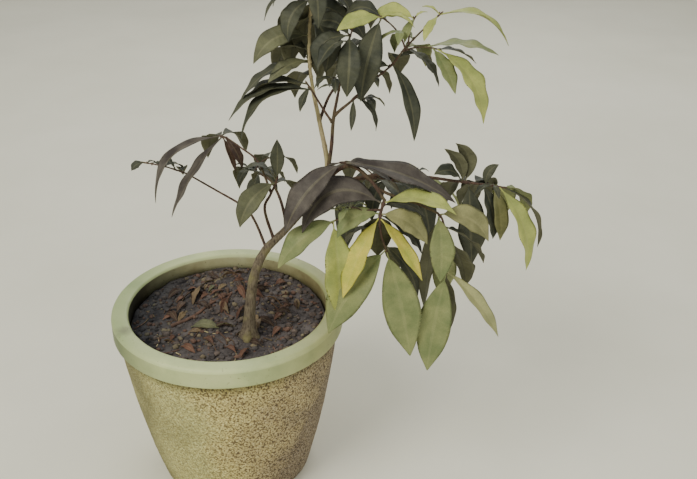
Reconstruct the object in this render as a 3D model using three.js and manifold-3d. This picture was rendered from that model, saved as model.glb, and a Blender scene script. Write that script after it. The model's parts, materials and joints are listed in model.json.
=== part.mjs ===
// A young rose apple tree in a tapered planter with a pale rim band.
// Millimetres, +Z up. The origin is the centre of the pot's flat underside.
// +X is to the right and -Y is toward the viewer.
import * as THREE from 'three';
import * as BufferGeometryUtils from 'three/addons/utils/BufferGeometryUtils.js';
import Module from 'manifold-3d';

const wasm = await Module();
wasm.setup();

// Driving dimensions of the pot
const POT_HEIGHT = 250;
const RIM_OUTER_RADIUS = 150;
const MOUTH_RADIUS = 128;
const BAND_HEIGHT = 27;
const BODY_TOP_RADIUS = 143;
const BODY_TAPER = 0.095;
const BODY_BULGE = 0.00041;
const WALL = 15;
const FLOOR = 18;
const EDGE_ROUND = 5;
const RIM_STEP_IN = 2;
const CORNER_STEPS = 2;
const FOOT_CHAMFER = 3;
const DRAIN_HOLES = 3;
const DRAIN_RADIUS = 8;
const DRAIN_SIDES = 10;
const DRAIN_CIRCLE = 48;
const POT_SIDES = 48;
const GAP = 0.3;

// Driving dimensions of the soil
const SOIL_EDGE_HEIGHT = 227;
const MOUND_HEIGHT = 26;
const MOUND_CENTRE = [8, 40];
const MOUND_SPREAD = 45;
const SOIL_MIDDLE = 135;
const SOIL_CLEARANCE = 1;
const SOIL_RINGS = 5;
const SOIL_SIDES = 28;

// Driving dimensions of the trunk's foot
const TRUNK_FOOT = [31, -48];
const GROUND = 231;
const FLARE = 5.5;
const FLARE_FADE = 11;
const FLARE_ROOTS = 4;
const FLARE_LOBE = 0.35;
const FLARE_TURN = 0.6;
const POCKET_RADIUS = 19;
const POCKET_SIDES = 24;

// How finely the limbs are faceted: the sides, and the steps between two points of the centre line
const TRUNK_SIDES = 12;
const TRUNK_STEPS = 4;
const BOUGH_SIDES = 6;
const BOUGH_STEPS = 3;
const TWIG_SIDES = 3;
const STEM_STEPS = 3;
const SHOOT_STEPS = 3;

// Leaves: the width over the length, the share of the length that is stalk, and the fold of the blade
const LEAF_WIDTH = 0.33;
const LEAF_STALK = 0.07;
const LEAF_FOLD = 0.22;
const LEAF_FULLNESS = 0.75;
const LEAF_THICK = 0.013;
const LEAF_THICK_LEAST = 1.4;
const STALK_HALF = 0.9;
const LEAF_SECTIONS = [0, 0.19, 0.45, 0.76];

// The rule that fills the crown: how far a filling leaf stays from a limb and from other masses
const LIMB_CLEARANCE = 3.5;
const LEAF_CLEARANCE = 11;
const TEST_SECTIONS = [0.3, 0.55, 0.8, 1];
const LIMB_TEST_STEPS = 10;
const SEED = 101;
const SEED_STEP = 17;

// How the pairs of a mass vary: each pair is turned from the last, and leaves shorten toward the tip
const PAIR_TURN = 90;
const BEARING_SPREAD = 30;
const REACH_SPREAD = [0.85, 0.3];
const DROP_SPREAD = [0.7, 0.6];
const REACH_LOSS = 0.35;
const DROP_LOSS = 0.9;
const PAIR_ARCH = 0.22;

// The radii of a shoot at its foot and its tip, as shares of its stem's
const SHOOT_FOOT = 0.8;
const SHOOT_TIP = 0.9;

// Trunk and boughs: the radius at the foot, the radius at the tip, and the points of the centre line
const LIMBS = {
  "trunk": [7.2, 3.8, [[31, -48, 225], [34, -44, 272], [41, -38, 316], [55, -31, 346], [80, -24, 371],
    [106, -18, 400]]],
  "bough_leader": [3.8, 2.2, [[104, -18, 397], [127, -16, 430], [131, -12, 456], [123, -5, 500],
    [115, 0, 540]]],
  "bough_second": [2.5, 1.6, [[131, -14, 440], [136, -16, 475], [139, -14, 513], [144, -14, 541]]],
  "bough_upper_left": [1.5, 1.1, [[137, -15, 508], [127, -18, 525], [116, -20, 545]]],
  "bough_upper_right": [1.8, 1.5, [[140, -14, 516], [149, -16, 525], [158, -17, 533]]],
  "bough_right_front": [3.0, 1.8, [[110, -20, 408], [136, -38, 450], [159, -55, 470], [181, -66, 458],
    [198, -72, 435]]],
  "bough_right_low": [1.8, 1.4, [[190, -68, 447], [212, -66, 436], [235, -70, 430], [259, -76, 421]]],
  "bough_right_far": [2.8, 1.6, [[122, -15, 424], [185, -16, 440], [240, -19, 441], [290, -20, 435]]],
  "bough_centre": [2.0, 1.6, [[159, -55, 470], [156, -60, 474], [154, -65, 478]]],
  "bough_left_low": [1.7, 1.0, [[56, -30, 348], [41, -10, 376], [26, 0, 391], [-9, 15, 406],
    [-44, 25, 423]]],
  "bough_left_inner": [1.9, 1.3, [[66, -28, 357], [55, -20, 396], [62, -16, 414], [68, -15, 426]]],
  "bough_left_arch": [1.4, 0.9, [[63, -16, 418], [48, -6, 453], [26, 8, 466], [8, 20, 474]]],
  "bough_back": [2.4, 1.4, [[98, -19, 391], [112, 20, 400], [140, 55, 402], [175, 80, 392]]],
  "bough_back_left": [2.0, 1.2, [[82, -23, 373], [72, 14, 392], [58, 46, 404], [44, 66, 404]]],
  "bough_back_upper": [1.9, 1.3, [[122, -4, 505], [134, 22, 528], [152, 42, 545]]],
};

// The limbs that each limb grows from and is cut clear of
const PARENTS = {
  "bough_leader": ["trunk"],
  "bough_second": ["bough_leader"],
  "bough_upper_left": ["bough_second"],
  "bough_upper_right": ["bough_second"],
  "bough_right_front": ["trunk", "bough_leader"],
  "bough_right_low": ["bough_right_front"],
  "bough_right_far": ["bough_leader", "bough_right_front"],
  "bough_centre": ["bough_right_front"],
  "bough_left_low": ["trunk"],
  "bough_left_inner": ["trunk"],
  "bough_left_arch": ["bough_left_inner"],
  "bough_back": ["trunk"],
  "bough_back_left": ["trunk"],
  "bough_back_upper": ["bough_leader"],
};

// Masses of foliage. A stem runs on from its bough's tip through its points, with a radius at each end.
// A leaf is [place along the stem, bearing, reach, drop, arch, tint, roll, breadth], its angles in degrees.
// A shoot is a side twig, given like a leaf, with leaves of its own.
// A leaf of the fill is placed only where it is clear of the limbs and of the other masses.
// Pairs are dealt out by rule: [pairs, first place, last place, first bearing, reach, drop, rise].
const SPRAYS = {
  "foliage_top": {
    "bough": "bough_leader", "radii": [2.1, 0.9],
    "stem": [[111, 5, 577], [113, 8, 633], [118, 6, 680], [126, 2, 716]],
    "leaves": [
      [0.37, 197, 66, 27, 16, "moss", -40], [0.23, 197, 84, 42, 15, "dark", 0, 0.75],
      [0.24, 213, 55, 17, 8, "moss", -20], [0.64, 187, 55, 39, 13, "dark", 0, 0.8],
      [0.58, 140, 42, 77, 14, "dark", -20, 1.3], [0.47, 128, 42, 75, 12, "dark", 0, 1.2],
      [0.47, 322, 21, 62, 15, "dark", 15, 1.3], [0.56, 218, 32, 44, 12, "dark", -30, 1.2],
      [0.64, 12, 46, 44, 12, "dark", 30, 1.4], [0.66, 280, 40, 42, 13, "dark"],
      [0.52, 352, 40, 30, 12, "dark", 35, 1.4], [0.55, 110, 30, 76, 8, "dark", 0, 1.4]],
    "shoots": [],
    "fill": [
      [0.32, 74, 27, 44, 9, "dark", 0, 1.3], [0.12, 112, 60, 46, 16, "dark"],
      [0.2, 80, 56, 32, 14, "dark", 0, 1.1], [0.3, 130, 66, 48, 18, "dark"], [0.42, 60, 60, 44, 15, "dark"]],
    "pairs": [5, 0.62, 0.99, 300, 60, 40, 0.9],
  },
  "foliage_upper_left": {
    "bough": "bough_upper_left", "radii": [1.1, 0.8], "stem": [[109, -19, 556]],
    "leaves": [
      [0.3, 187, 96, 34, 17, "dark", 0, 0.7], [0.35, 198, 84, 52, 23, "dark", 0, 0.7],
      [0.9, 175, 80, 31, 15, "dark", 0, 0.8], [0.6, 238, 20, 24, 3, "dark"]],
    "shoots": [],
    "fill": [],
    "pairs": [],
  },
  "foliage_upper_middle": {
    "bough": "bough_second", "radii": [1.4, 0.9],
    "stem": [[148, -16, 564], [153, -18, 595], [160, -20, 618]],
    "leaves": [
      [0.08, 196, 26, -2, 6, "dark", 0, 0.6], [0.9, 264, 33, 60, 15, "dark", 0, 1.1],
      [0.66, 271, 22, 45, 6, "dark", 0, 0.9], [0.9, 204, 39, 37, 17, "dark", -30, 1.2],
      [0.88, 172, 42, -12, 12, "dark", -40, 1.3]],
    "shoots": [],
    "fill": [
      [0.8, 40, 59, 56, 18, "dark", 20, 1.2], [0.62, 66, 48, 49, 14, "dark", 0, 1.3],
      [0.75, 100, 66, 36, 20, "dark"], [0.5, 112, 58, 46, 16, "dark"], [0.7, 30, 50, 40, 14, "dark"],
      [0.5, 330, 30, 44, 12, "dark"]],
    "pairs": [3, 0.6, 0.99, 140, 60, 34, 1.0],
  },
  "foliage_upper_right": {
    "bough": "bough_upper_right", "radii": [1.4, 0.8],
    "stem": [[183, -14, 557], [205, -12, 576], [218, -8, 592], [237, -7, 613], [258, -6, 633]],
    "leaves": [
      [0.03, 262, 20, 32, 3, "dark", 0, 0.6], [0.05, 330, 27, 37, 9, "dark", 0, 0.8],
      [0.41, 306, 43, 80, 14, "dark", 0, 0.65], [0.62, 338, 42, 40, 9, "dark", 0, 1.1],
      [0.6, 60, 60, 36, 14, "green"], [0.38, 152, 44, 22, 8, "dark", -30, 1.2],
      [0.99, 0, 80, 36, 18, "lime", 0, 0.8],
      [0.99, 170, 20, -8, 3, "lime"], [0.97, 235, 28, 22, 4, "lime"]],
    "shoots": [
      [[0.62, 202, 32, -39, 5], [
        [0.97, 205, 53, 9, 5, "lime", -40, 1.1], [0.95, 222, 30, 90, 8, "dark", -40, 1],
        [0.97, 346, 38, 9, 7, "lime"], [0.8, 110, 50, 22, 12, "dark"],
        [0.95, 163, 44, 6, 12, "dark", -30, 1.2]]],
      [[0.66, 315, 8, -32, 2], [
        [0.97, 178, 46, -2, 7, "lime", -35, 1.2], [0.97, 240, 22, 22, 4, "green"], [0.97, 20, 16, -6, 3, "lime"]]],
      [[0.58, 340, 42, -7, 4], [
        [0.97, 328, 62, 76, 16, "lime"], [0.85, 301, 46, 40, 5, "green"], [0.7, 348, 80, 4, 9, "green"],
        [0.97, 20, 50, 22, 6, "dark"]]]],
    "fill": [
      [0.5, 40, 56, 30, 13, "dark"], [0.3, 140, 56, 34, 16, "dark"], [0.46, 84, 60, 40, 16, "dark"],
      [0.72, 112, 50, 30, 12, "green"]],
    "pairs": [],
  },
  "foliage_right_front": {
    "bough": "bough_right_front", "radii": [1.8, 0.9],
    "stem": [[193, -79, 417], [195, -83, 395], [202, -85, 374]],
    "leaves": [
      [0.06, 344, 85, 3, 14, "lime", 15, 0.95], [0.28, 200, 53, 22, 13, "green", -30, 1.15],
      [0.33, 212, 50, 94, 7, "gold", -15, 0.8], [0.36, 329, 58, 66, 6, "gold", 0, 0.8],
      [0.28, 342, 57, 30, 12, "olive", 28, 1.3], [0.98, 316, 42, 128, 3, "green", 40],
      [0.95, 203, 73, 98, 8, "green", -40, 1.1], [0.08, 192, 95, 28, 33, "wine", -35],
      [0.3, 95, 14, 62, 4, "dark", 0, 1.8], [0.85, 5, 42, 74, 8, "dark", 30],
      [0.1, 38, 66, 34, 6, "dark", 30], [0.3, 18, 54, 60, 8, "dark", 30, 1.1]],
    "shoots": [
      [[0.2, 192, 58, 10, 5], [
        [0.97, 298, 18, 122, 2, "lime"], [0.9, 196, 70, 54, 9, "green", -25, 1.1]]]],
    "fill": [[0.5, 150, 52, 60, 14, "dark"], [0.9, 70, 46, 60, 10, "dark"]],
    "pairs": [],
  },
  "foliage_right_low": {
    "bough": "bough_right_low", "radii": [1.4, 0.9],
    "stem": [[266, -80, 411], [272, -84, 377], [272, -86, 344]],
    "leaves": [
      [0.08, 278, 24, 76, 3, "green", 0, 1.15], [0.08, 346, 59, 27, 15, "olive", 30, 1.3],
      [0.98, 236, 34, 120, 3, "green", -25], [0.95, 344, 68, 80, 9, "pale", 20, 0.6],
      [0.4, 21, 56, 60, 8, "dark", 0, 1.1], [0.55, 40, 38, 78, 8, "dark", 0, 1.2],
      [0.97, 60, 12, 98, 4, "dark", 0, 0.7], [0.1, 122, 20, 136, 3, "dark", 0, 0.6]],
    "shoots": [],
    "fill": [[0.75, 90, 36, 80, 8, "green"], [0.3, 176, 26, 86, 6, "dark"]],
    "pairs": [],
  },
  "foliage_right_far": {
    "bough": "bough_right_far", "radii": [1.5, 0.9], "stem": [[315, -18, 431], [345, -15, 425]],
    "leaves": [
      [0.04, 209, 41, -18, 9, "dark", -25, 1.3], [0.06, 188, 25, -44, 6, "dark", 50, 1.1],
      [0.12, 209, 18, -54, 10, "dark", 40, 1.0], [0.62, 22, 16, -24, 6, "dark", 50, 1.2],
      [0.55, 309, 23, 65, 6, "dark", 0, 1.2], [0.2, 290, 24, 100, 5, "dark", 0, 1.1],
      [0.88, 322, 47, 100, 16, "lime", 0, 0.95], [0.99, 8, 50, 86, 17, "dark", 0, 0.7],
      [0.78, 303, 19, 66, 5, "olive"]],
    "shoots": [],
    "fill": [
      [0.55, 95, 50, 62, 16, "dark"], [0.9, 75, 48, 70, 16, "green"], [0.15, 110, 55, 60, 16, "dark"],
      [0.35, 62, 60, 44, 14, "dark"], [0.75, 122, 58, 52, 15, "dark"], [0.99, 45, 50, 56, 14, "green"]],
    "pairs": [],
  },
  "foliage_centre": {
    "bough": "bough_centre", "radii": [1.5, 0.9], "stem": [[149, -70, 481]],
    "leaves": [
      [0.5, 206, 74, 73, 14, "wine", -25, 0.95], [0.95, 146, 46, 50, 8, "wine"],
      [0.4, 2, 130, 53, 11, "wine", 10, 0.8], [0.6, 26, 76, 56, 8, "wine", 15, 1.2]],
    "shoots": [],
    "fill": [[0.9, 60, 50, 40, 8, "wine"], [0.8, 110, 54, 44, 9, "wine"]],
    "pairs": [],
  },
  "foliage_left_low": {
    "bough": "bough_left_low", "radii": [1.0, 0.8], "stem": [[-72, 27, 432], [-99, 30, 436]],
    "leaves": [
      [0.25, 172, 25, -6, 9, "dark", 0, 1.2], [0.98, 200, 16, 9, 3, "dark", -30, 1.8],
      [0.9, 60, 16, 6, 3, "dark"], [0.6, 130, 22, 8, 4, "dark"], [0.5, 50, 30, 14, 6, "dark"]],
    "shoots": [],
    "fill": [[0.1, 100, 36, 20, 8, "dark"]],
    "pairs": [],
  },
  "foliage_left_inner": {
    "bough": "bough_left_inner", "radii": [1.3, 0.9], "stem": [[71, -15, 436]],
    "leaves": [
      [0.4, 217, 53, 45, 13, "moss", -30, 1.1], [0.97, 85, 9, -47, 1, "dark", 0, 1.1],
      [0.6, 192, 42, -18, 13, "dark"], [0.7, 130, 50, 20, 12, "dark"]],
    "shoots": [],
    "fill": [[0.3, 60, 46, 40, 12, "dark"]],
    "pairs": [],
  },
  "foliage_left_arch": {
    "bough": "bough_left_arch", "radii": [0.9, 0.8], "stem": [[0, 24, 474]],
    "leaves": [
      [0.97, 194, 85, 82, 25, "wine", 0, 0.6], [0.6, 203, 71, 97, 8, "wine", 0, 0.65],
      [0.4, 325, 28, 36, 7, "brown"], [0.6, 309, 26, 39, 3, "brown", 0, 0.6],
      [0.97, 60, 50, 40, 14, "dark"]],
    "shoots": [],
    "fill": [[0.7, 120, 52, 48, 14, "dark"]],
    "pairs": [],
  },
  "foliage_back": {
    "bough": "bough_back", "radii": [1.4, 0.9], "stem": [[205, 98, 384], [240, 108, 368]],
    "leaves": [],
    "shoots": [
      [[0.3, 120, 50, 0, 4], [
        [0.98, 100, 60, 55, 16, "dark"], [0.98, 190, 60, 50, 16, "dark"], [0.6, 50, 56, 50, 15, "dark"]]],
      [[0.6, 20, 50, 10, 4], [
        [0.98, 20, 60, 66, 16, "green"], [0.6, 300, 50, 70, 16, "dark"], [0.9, 80, 56, 60, 16, "dark"]]]],
    "fill": [[0.45, 110, 58, 66, 16, "dark"], [0.85, 70, 54, 60, 15, "dark"]],
    "pairs": [5, 0.08, 0.98, 60, 64, 66, 0.8],
  },
  "foliage_back_left": {
    "bough": "bough_back_left", "radii": [1.2, 0.8], "stem": [[32, 84, 402], [24, 102, 398]],
    "leaves": [],
    "shoots": [
      [[0.4, 60, 34, -6, 4], [[0.98, 40, 46, 36, 12, "dark"], [0.98, 110, 50, 42, 14, "dark"]]]],
    "fill": [[0.1, 130, 50, 40, 14, "dark"], [0.55, 120, 50, 44, 14, "dark"], [0.8, 60, 54, 50, 14, "dark"]],
    "pairs": [4, 0.1, 0.98, 60, 38, 28, 1.0],
  },
  "foliage_back_upper": {
    "bough": "bough_back_upper", "radii": [1.3, 0.8], "stem": [[166, 56, 560], [176, 64, 580]],
    "leaves": [],
    "shoots": [],
    "fill": [
      [0.3, 120, 58, 44, 14, "dark"], [0.1, 176, 56, 36, 14, "dark"], [0.3, 30, 54, 44, 14, "dark"],
      [0.5, 80, 60, 40, 15, "dark"], [0.99, 172, 34, -26, 8, "dark", -40, 1.3],
      [0.85, 340, 40, 30, 12, "dark", 30, 1.2]],
    "pairs": [4, 0.4, 0.98, 160, 58, 40, 1.0],
  },
};

// Colours, roughness and metalness of the materials
const FINISHES = {
  pot: { color: 0xa99b78, roughness: 0.85 },
  rim: { color: 0xd3d6bf, roughness: 0.5 },
  soil: { color: 0x3b2a26, roughness: 0.95 },
  bark: { color: 0x5b4a3c, roughness: 0.85 },
  darkLeaf: { color: 0x4c5040, roughness: 0.55 },
  greenLeaf: { color: 0x8a9a55, roughness: 0.5 },
};
const PALE_MASSES = ["foliage_right_front", "foliage_right_low", "foliage_upper_right"];

const UP = new THREE.Vector3(0, 0, 1);

// Solids: closed geometry becomes a solid that can be joined and cut
function solidOf(geometry) {
  const plain = geometry.clone();
  plain.deleteAttribute('normal');
  plain.deleteAttribute('uv');
  const merged = BufferGeometryUtils.mergeVertices(plain, 1e-4);
  const mesh = new wasm.Mesh({
    numProp: 3,
    vertProperties: Float32Array.from(merged.attributes.position.array),
    triVerts: Uint32Array.from(merged.index.array),
  });
  mesh.merge();
  return new wasm.Manifold(mesh);
}

function geometryOf(solid) {
  const mesh = solid.getMesh();
  const geometry = new THREE.BufferGeometry();
  geometry.setAttribute('position', new THREE.BufferAttribute(mesh.vertProperties.slice(), 3));
  geometry.setIndex(new THREE.BufferAttribute(mesh.triVerts.slice(), 1));
  geometry.computeVertexNormals();
  return geometry;
}

function largestPiece(solid) {
  const pieces = solid.decompose();
  return pieces.reduce((best, piece) => (piece.volume() > best.volume() ? piece : best));
}

// A closed surface through rings of equal count, capped flat at the first ring and at the last
function skinRings(rings) {
  const count = rings[0].length;
  const points = rings.flat();
  const faces = [];
  for (let i = 0; i + 1 < rings.length; i += 1) {
    const low = i * count;
    const high = rings[i + 1].length === 1 ? low + count : (i + 1) * count;
    for (let j = 0; j < count; j += 1) {
      const next = (j + 1) % count;
      if (rings[i + 1].length === 1) {
        faces.push(low + j, low + next, high);
      } else {
        faces.push(low + j, low + next, high + next, low + j, high + next, high + j);
      }
    }
  }
  for (let j = 1; j + 1 < count; j += 1) {
    faces.push(0, j + 1, j);
  }
  const last = rings[rings.length - 1];
  if (last.length > 1) {
    const start = points.length - count;
    for (let j = 1; j + 1 < count; j += 1) {
      faces.push(start, start + j, start + j + 1);
    }
  }
  const geometry = new THREE.BufferGeometry();
  const positions = points.flatMap((point) => point.toArray());
  geometry.setAttribute('position', new THREE.Float32BufferAttribute(positions, 3));
  geometry.setIndex(faces);
  return geometry;
}

function curveThrough(points) {
  const vectors = points.map((point) => new THREE.Vector3(...point));
  return new THREE.CatmullRomCurve3(vectors, false, 'catmullrom', 0.5);
}

// A tapering tube along a curve. The frame is carried along so that it doesn't twist.
function tubeRings(curve, footRadius, tipRadius, sides, steps, bulge) {
  const rings = [];
  const tangent = curve.getTangent(0);
  const across = new THREE.Vector3(1, 0, 0).projectOnPlane(tangent).normalize();
  for (let i = 0; i <= steps; i += 1) {
    const t = i / steps;
    const centre = curve.getPoint(t);
    const along = curve.getTangent(t);
    across.projectOnPlane(along).normalize();
    const other = new THREE.Vector3().crossVectors(along, across);
    const ring = [];
    for (let j = 0; j < sides; j += 1) {
      const angle = (2 * Math.PI * j) / sides;
      const radius = footRadius + (tipRadius - footRadius) * t + bulge(centre.z, angle);
      ring.push(centre.clone()
        .addScaledVector(across, radius * Math.cos(angle))
        .addScaledVector(other, radius * Math.sin(angle)));
    }
    rings.push(ring);
  }
  return rings;
}

const noBulge = () => 0;

// Pot: a tapered body, open at the top, with drain holes, and a separate rim band on it
function bodyRadius(height) {
  const below = POT_HEIGHT - BAND_HEIGHT - height;
  return BODY_TOP_RADIUS - BODY_TAPER * below - BODY_BULGE * below * below;
}

function latheSolid(profile, sides) {
  const points = profile.map(([radius, height]) => new THREE.Vector2(radius, height));
  const lathe = new THREE.LatheGeometry(points, sides);
  lathe.rotateX(Math.PI / 2);
  return outward(solidOf(lathe));
}

// A solid whose faces point in is turned inside out
function outward(solid) {
  if (solid.volume() > 0) {
    return solid;
  }
  const mesh = solid.getMesh();
  const flipped = mesh.triVerts.slice();
  for (let i = 0; i < flipped.length; i += 3) {
    [flipped[i], flipped[i + 1]] = [flipped[i + 1], flipped[i]];
  }
  return new wasm.Manifold(new wasm.Mesh({
    numProp: 3, vertProperties: mesh.vertProperties.slice(), triVerts: flipped,
  }));
}

function makePotBody() {
  const top = POT_HEIGHT - BAND_HEIGHT;
  const outer = [FOOT_CHAMFER, top / 3, (2 * top) / 3, top].map((height) => [bodyRadius(height), height]);
  const inner = [top, top / 2, FLOOR].map((height) => [bodyRadius(height) - WALL, height]);
  const profile = [[0, 0], [bodyRadius(0) - FOOT_CHAMFER, 0], ...outer, ...inner, [0, FLOOR]];
  let body = latheSolid(profile, POT_SIDES);
  for (let i = 0; i < DRAIN_HOLES; i += 1) {
    const angle = (2 * Math.PI * i) / DRAIN_HOLES;
    const drill = new THREE.CylinderGeometry(DRAIN_RADIUS, DRAIN_RADIUS, 3 * FLOOR, DRAIN_SIDES);
    drill.rotateX(Math.PI / 2);
    drill.translate(DRAIN_CIRCLE * Math.cos(angle), DRAIN_CIRCLE * Math.sin(angle), 0);
    body = body.subtract(solidOf(drill));
  }
  return body;
}

function makePotRim() {
  const low = POT_HEIGHT - BAND_HEIGHT + GAP;
  const shape = [];
  const corner = (radius, height, from) => {
    for (let i = 0; i <= CORNER_STEPS; i += 1) {
      const angle = from + (Math.PI * i) / (2 * CORNER_STEPS);
      shape.push([radius + EDGE_ROUND * Math.cos(angle), height + EDGE_ROUND * Math.sin(angle)]);
    }
  };
  shape.push([MOUTH_RADIUS, low]);
  shape.push([RIM_OUTER_RADIUS - RIM_STEP_IN, low]);
  corner(RIM_OUTER_RADIUS - EDGE_ROUND, POT_HEIGHT - EDGE_ROUND, 0);
  corner(MOUTH_RADIUS + EDGE_ROUND, POT_HEIGHT - EDGE_ROUND, Math.PI / 2);
  shape.push(shape[0]);
  return latheSolid(shape, POT_SIDES);
}

// Soil: a filled disc with a low mound, and a flat pocket where the trunk stands
function soilHeight(x, y) {
  const away = (x - MOUND_CENTRE[0]) ** 2 + (y - MOUND_CENTRE[1]) ** 2;
  return SOIL_EDGE_HEIGHT + MOUND_HEIGHT * Math.exp(-away / (2 * MOUND_SPREAD ** 2));
}

function soilRing(radius, height) {
  const ring = [];
  for (let j = 0; j < SOIL_SIDES; j += 1) {
    const angle = (2 * Math.PI * j) / SOIL_SIDES;
    const x = radius * Math.cos(angle);
    const y = radius * Math.sin(angle);
    ring.push(new THREE.Vector3(x, y, height(x, y)));
  }
  return ring;
}

function makeSoil() {
  const floor = FLOOR + GAP;
  const bodyTop = POT_HEIGHT - BAND_HEIGHT;
  const inside = (height) => bodyRadius(height) - WALL - SOIL_CLEARANCE - 2 * GAP;
  const rings = [];
  rings.push(soilRing(inside(FLOOR), () => floor));
  rings.push(soilRing(inside(SOIL_MIDDLE), () => SOIL_MIDDLE));
  rings.push(soilRing(inside(bodyTop), () => bodyTop));
  for (let i = 0; i < SOIL_RINGS; i += 1) {
    rings.push(soilRing(inside(bodyTop) * (1 - i / SOIL_RINGS), soilHeight));
  }
  rings.push([new THREE.Vector3(0, 0, soilHeight(0, 0))]);
  const soil = outward(solidOf(skinRings(rings)));
  const pocket = new THREE.CylinderGeometry(POCKET_RADIUS, POCKET_RADIUS, MOUND_HEIGHT, POCKET_SIDES);
  pocket.rotateX(Math.PI / 2);
  pocket.translate(TRUNK_FOOT[0], TRUNK_FOOT[1], GROUND - GAP + MOUND_HEIGHT / 2);
  return largestPiece(soil.subtract(solidOf(pocket)));
}

// Trunk and boughs
function rootFlare(height, angle) {
  const lobes = 1 + FLARE_LOBE * Math.cos(FLARE_ROOTS * angle + FLARE_TURN);
  return FLARE * lobes * Math.exp(-Math.max(0, height - GROUND) / FLARE_FADE);
}

function limbSolid(name, grown) {
  const [footRadius, tipRadius, points] = LIMBS[name];
  const isTrunk = name === 'trunk';
  const sides = isTrunk ? TRUNK_SIDES : BOUGH_SIDES;
  const steps = (isTrunk ? TRUNK_STEPS : BOUGH_STEPS) * (points.length - 1);
  const bulge = isTrunk ? rootFlare : noBulge;
  const curve = curveThrough(points);
  const grownBulge = (height, angle) => bulge(height, angle) + grown;
  return solidOf(skinRings(tubeRings(curve, footRadius, tipRadius, sides, steps, grownBulge)));
}

function makeTrunk() {
  const size = 4 * POCKET_RADIUS;
  const below = new THREE.BoxGeometry(size, size, size);
  below.translate(TRUNK_FOOT[0], TRUNK_FOOT[1], GROUND - size / 2);
  return limbSolid('trunk', 0).subtract(solidOf(below));
}

function makeBough(name) {
  let bough = limbSolid(name, 0);
  for (const parent of PARENTS[name]) {
    bough = bough.subtract(limbSolid(parent, GAP));
  }
  return largestPiece(bough);
}

// The growth rule: where each twig and each leaf of a mass lies
function makeRandom(seed) {
  let state = seed;
  return () => {
    state = (state * 48271) % 2147483647;
    return state / 2147483647;
  };
}

// A twig or a midrib: an arched curve from its base, aimed by a bearing, a reach and a drop
function archFrom(base, bearing, reach, drop, arch) {
  const angle = THREE.MathUtils.degToRad(bearing);
  const ahead = new THREE.Vector3(Math.cos(angle), Math.sin(angle), 0);
  const tip = base.clone().addScaledVector(ahead, reach).addScaledVector(UP, -drop);
  const chord = Math.hypot(reach, drop);
  const lift = ahead.clone().multiplyScalar(drop / chord).addScaledVector(UP, reach / chord);
  const middle = base.clone().add(tip).multiplyScalar(0.5).addScaledVector(lift, 2 * arch);
  return new THREE.QuadraticBezierCurve3(base, middle, tip);
}

function makeLeaf(parent, row) {
  const [along, bearing, reach, drop, arch, , roll = 0, breadth = 1] = row;
  const rib = archFrom(parent.getPoint(along), bearing, reach, drop, arch);
  return { rib, bearing, roll, width: breadth * LEAF_WIDTH * rib.getLength(), length: rib.getLength() };
}

function leafFrame(leaf, t) {
  const angle = THREE.MathUtils.degToRad(leaf.bearing);
  const along = leaf.rib.getTangent(t);
  const level = new THREE.Vector3(-Math.sin(angle), Math.cos(angle), 0);
  const across = level.applyAxisAngle(along, THREE.MathUtils.degToRad(leaf.roll));
  const face = new THREE.Vector3().crossVectors(along, across);
  return { centre: leaf.rib.getPoint(t), across, face };
}

function leafHalfWidth(leaf, t) {
  const u = Math.max(0, (t - LEAF_STALK) / (1 - LEAF_STALK));
  const blade = Math.pow(Math.sin(Math.PI * u), LEAF_FULLNESS) * (1 - 0.5 * Math.pow(u, 6));
  return (leaf.width * blade) / 2;
}

function leafSolid(leaf) {
  const thick = Math.max(LEAF_THICK_LEAST, LEAF_THICK * leaf.length) / 2;
  const rings = LEAF_SECTIONS.map((t) => {
    const { centre, across, face } = leafFrame(leaf, t);
    const half = t <= LEAF_STALK ? STALK_HALF : leafHalfWidth(leaf, t);
    const fold = t <= LEAF_STALK ? 0 : half * LEAF_FOLD;
    return [
      centre.clone().addScaledVector(across, half).addScaledVector(face, fold),
      centre.clone().addScaledVector(face, -thick),
      centre.clone().addScaledVector(across, -half).addScaledVector(face, fold),
      centre.clone().addScaledVector(face, thick),
    ];
  });
  rings.push([leaf.rib.getPoint(1)]);
  return outward(solidOf(skinRings(rings)));
}

// Points on the blade that are tested against the limbs and the other masses
function testPoints(leaf) {
  return TEST_SECTIONS.flatMap((t) => {
    const { centre, across } = leafFrame(leaf, t);
    const half = leafHalfWidth(leaf, t);
    return [0, half, -half].map((out) => centre.clone().addScaledVector(across, out));
  });
}

function growthTestPoints({ twigs, leaves }) {
  const twigPoints = twigs.flatMap(({ curve, steps }) => curve.getPoints(2 * steps));
  return [...twigPoints, ...leaves.flatMap(testPoints)];
}

function isClear(leaf, limbPoints, otherPoints) {
  const offLimb = (point, { place, radius }) => point.distanceTo(place) > radius + LIMB_CLEARANCE;
  const offOther = (point, other) => point.distanceTo(other) > LEAF_CLEARANCE;
  return testPoints(leaf).every((point) => (
    limbPoints.every((limb) => offLimb(point, limb)) && otherPoints.every((other) => offOther(point, other))
  ));
}

function limbTestPoints() {
  const list = [];
  for (const [footRadius, tipRadius, points] of Object.values(LIMBS)) {
    const curve = curveThrough(points);
    const steps = LIMB_TEST_STEPS * (points.length - 1);
    for (let i = 0; i <= steps; i += 1) {
      const t = i / steps;
      list.push({ place: curve.getPoint(t), radius: footRadius + (tipRadius - footRadius) * t });
    }
  }
  return list;
}

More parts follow.
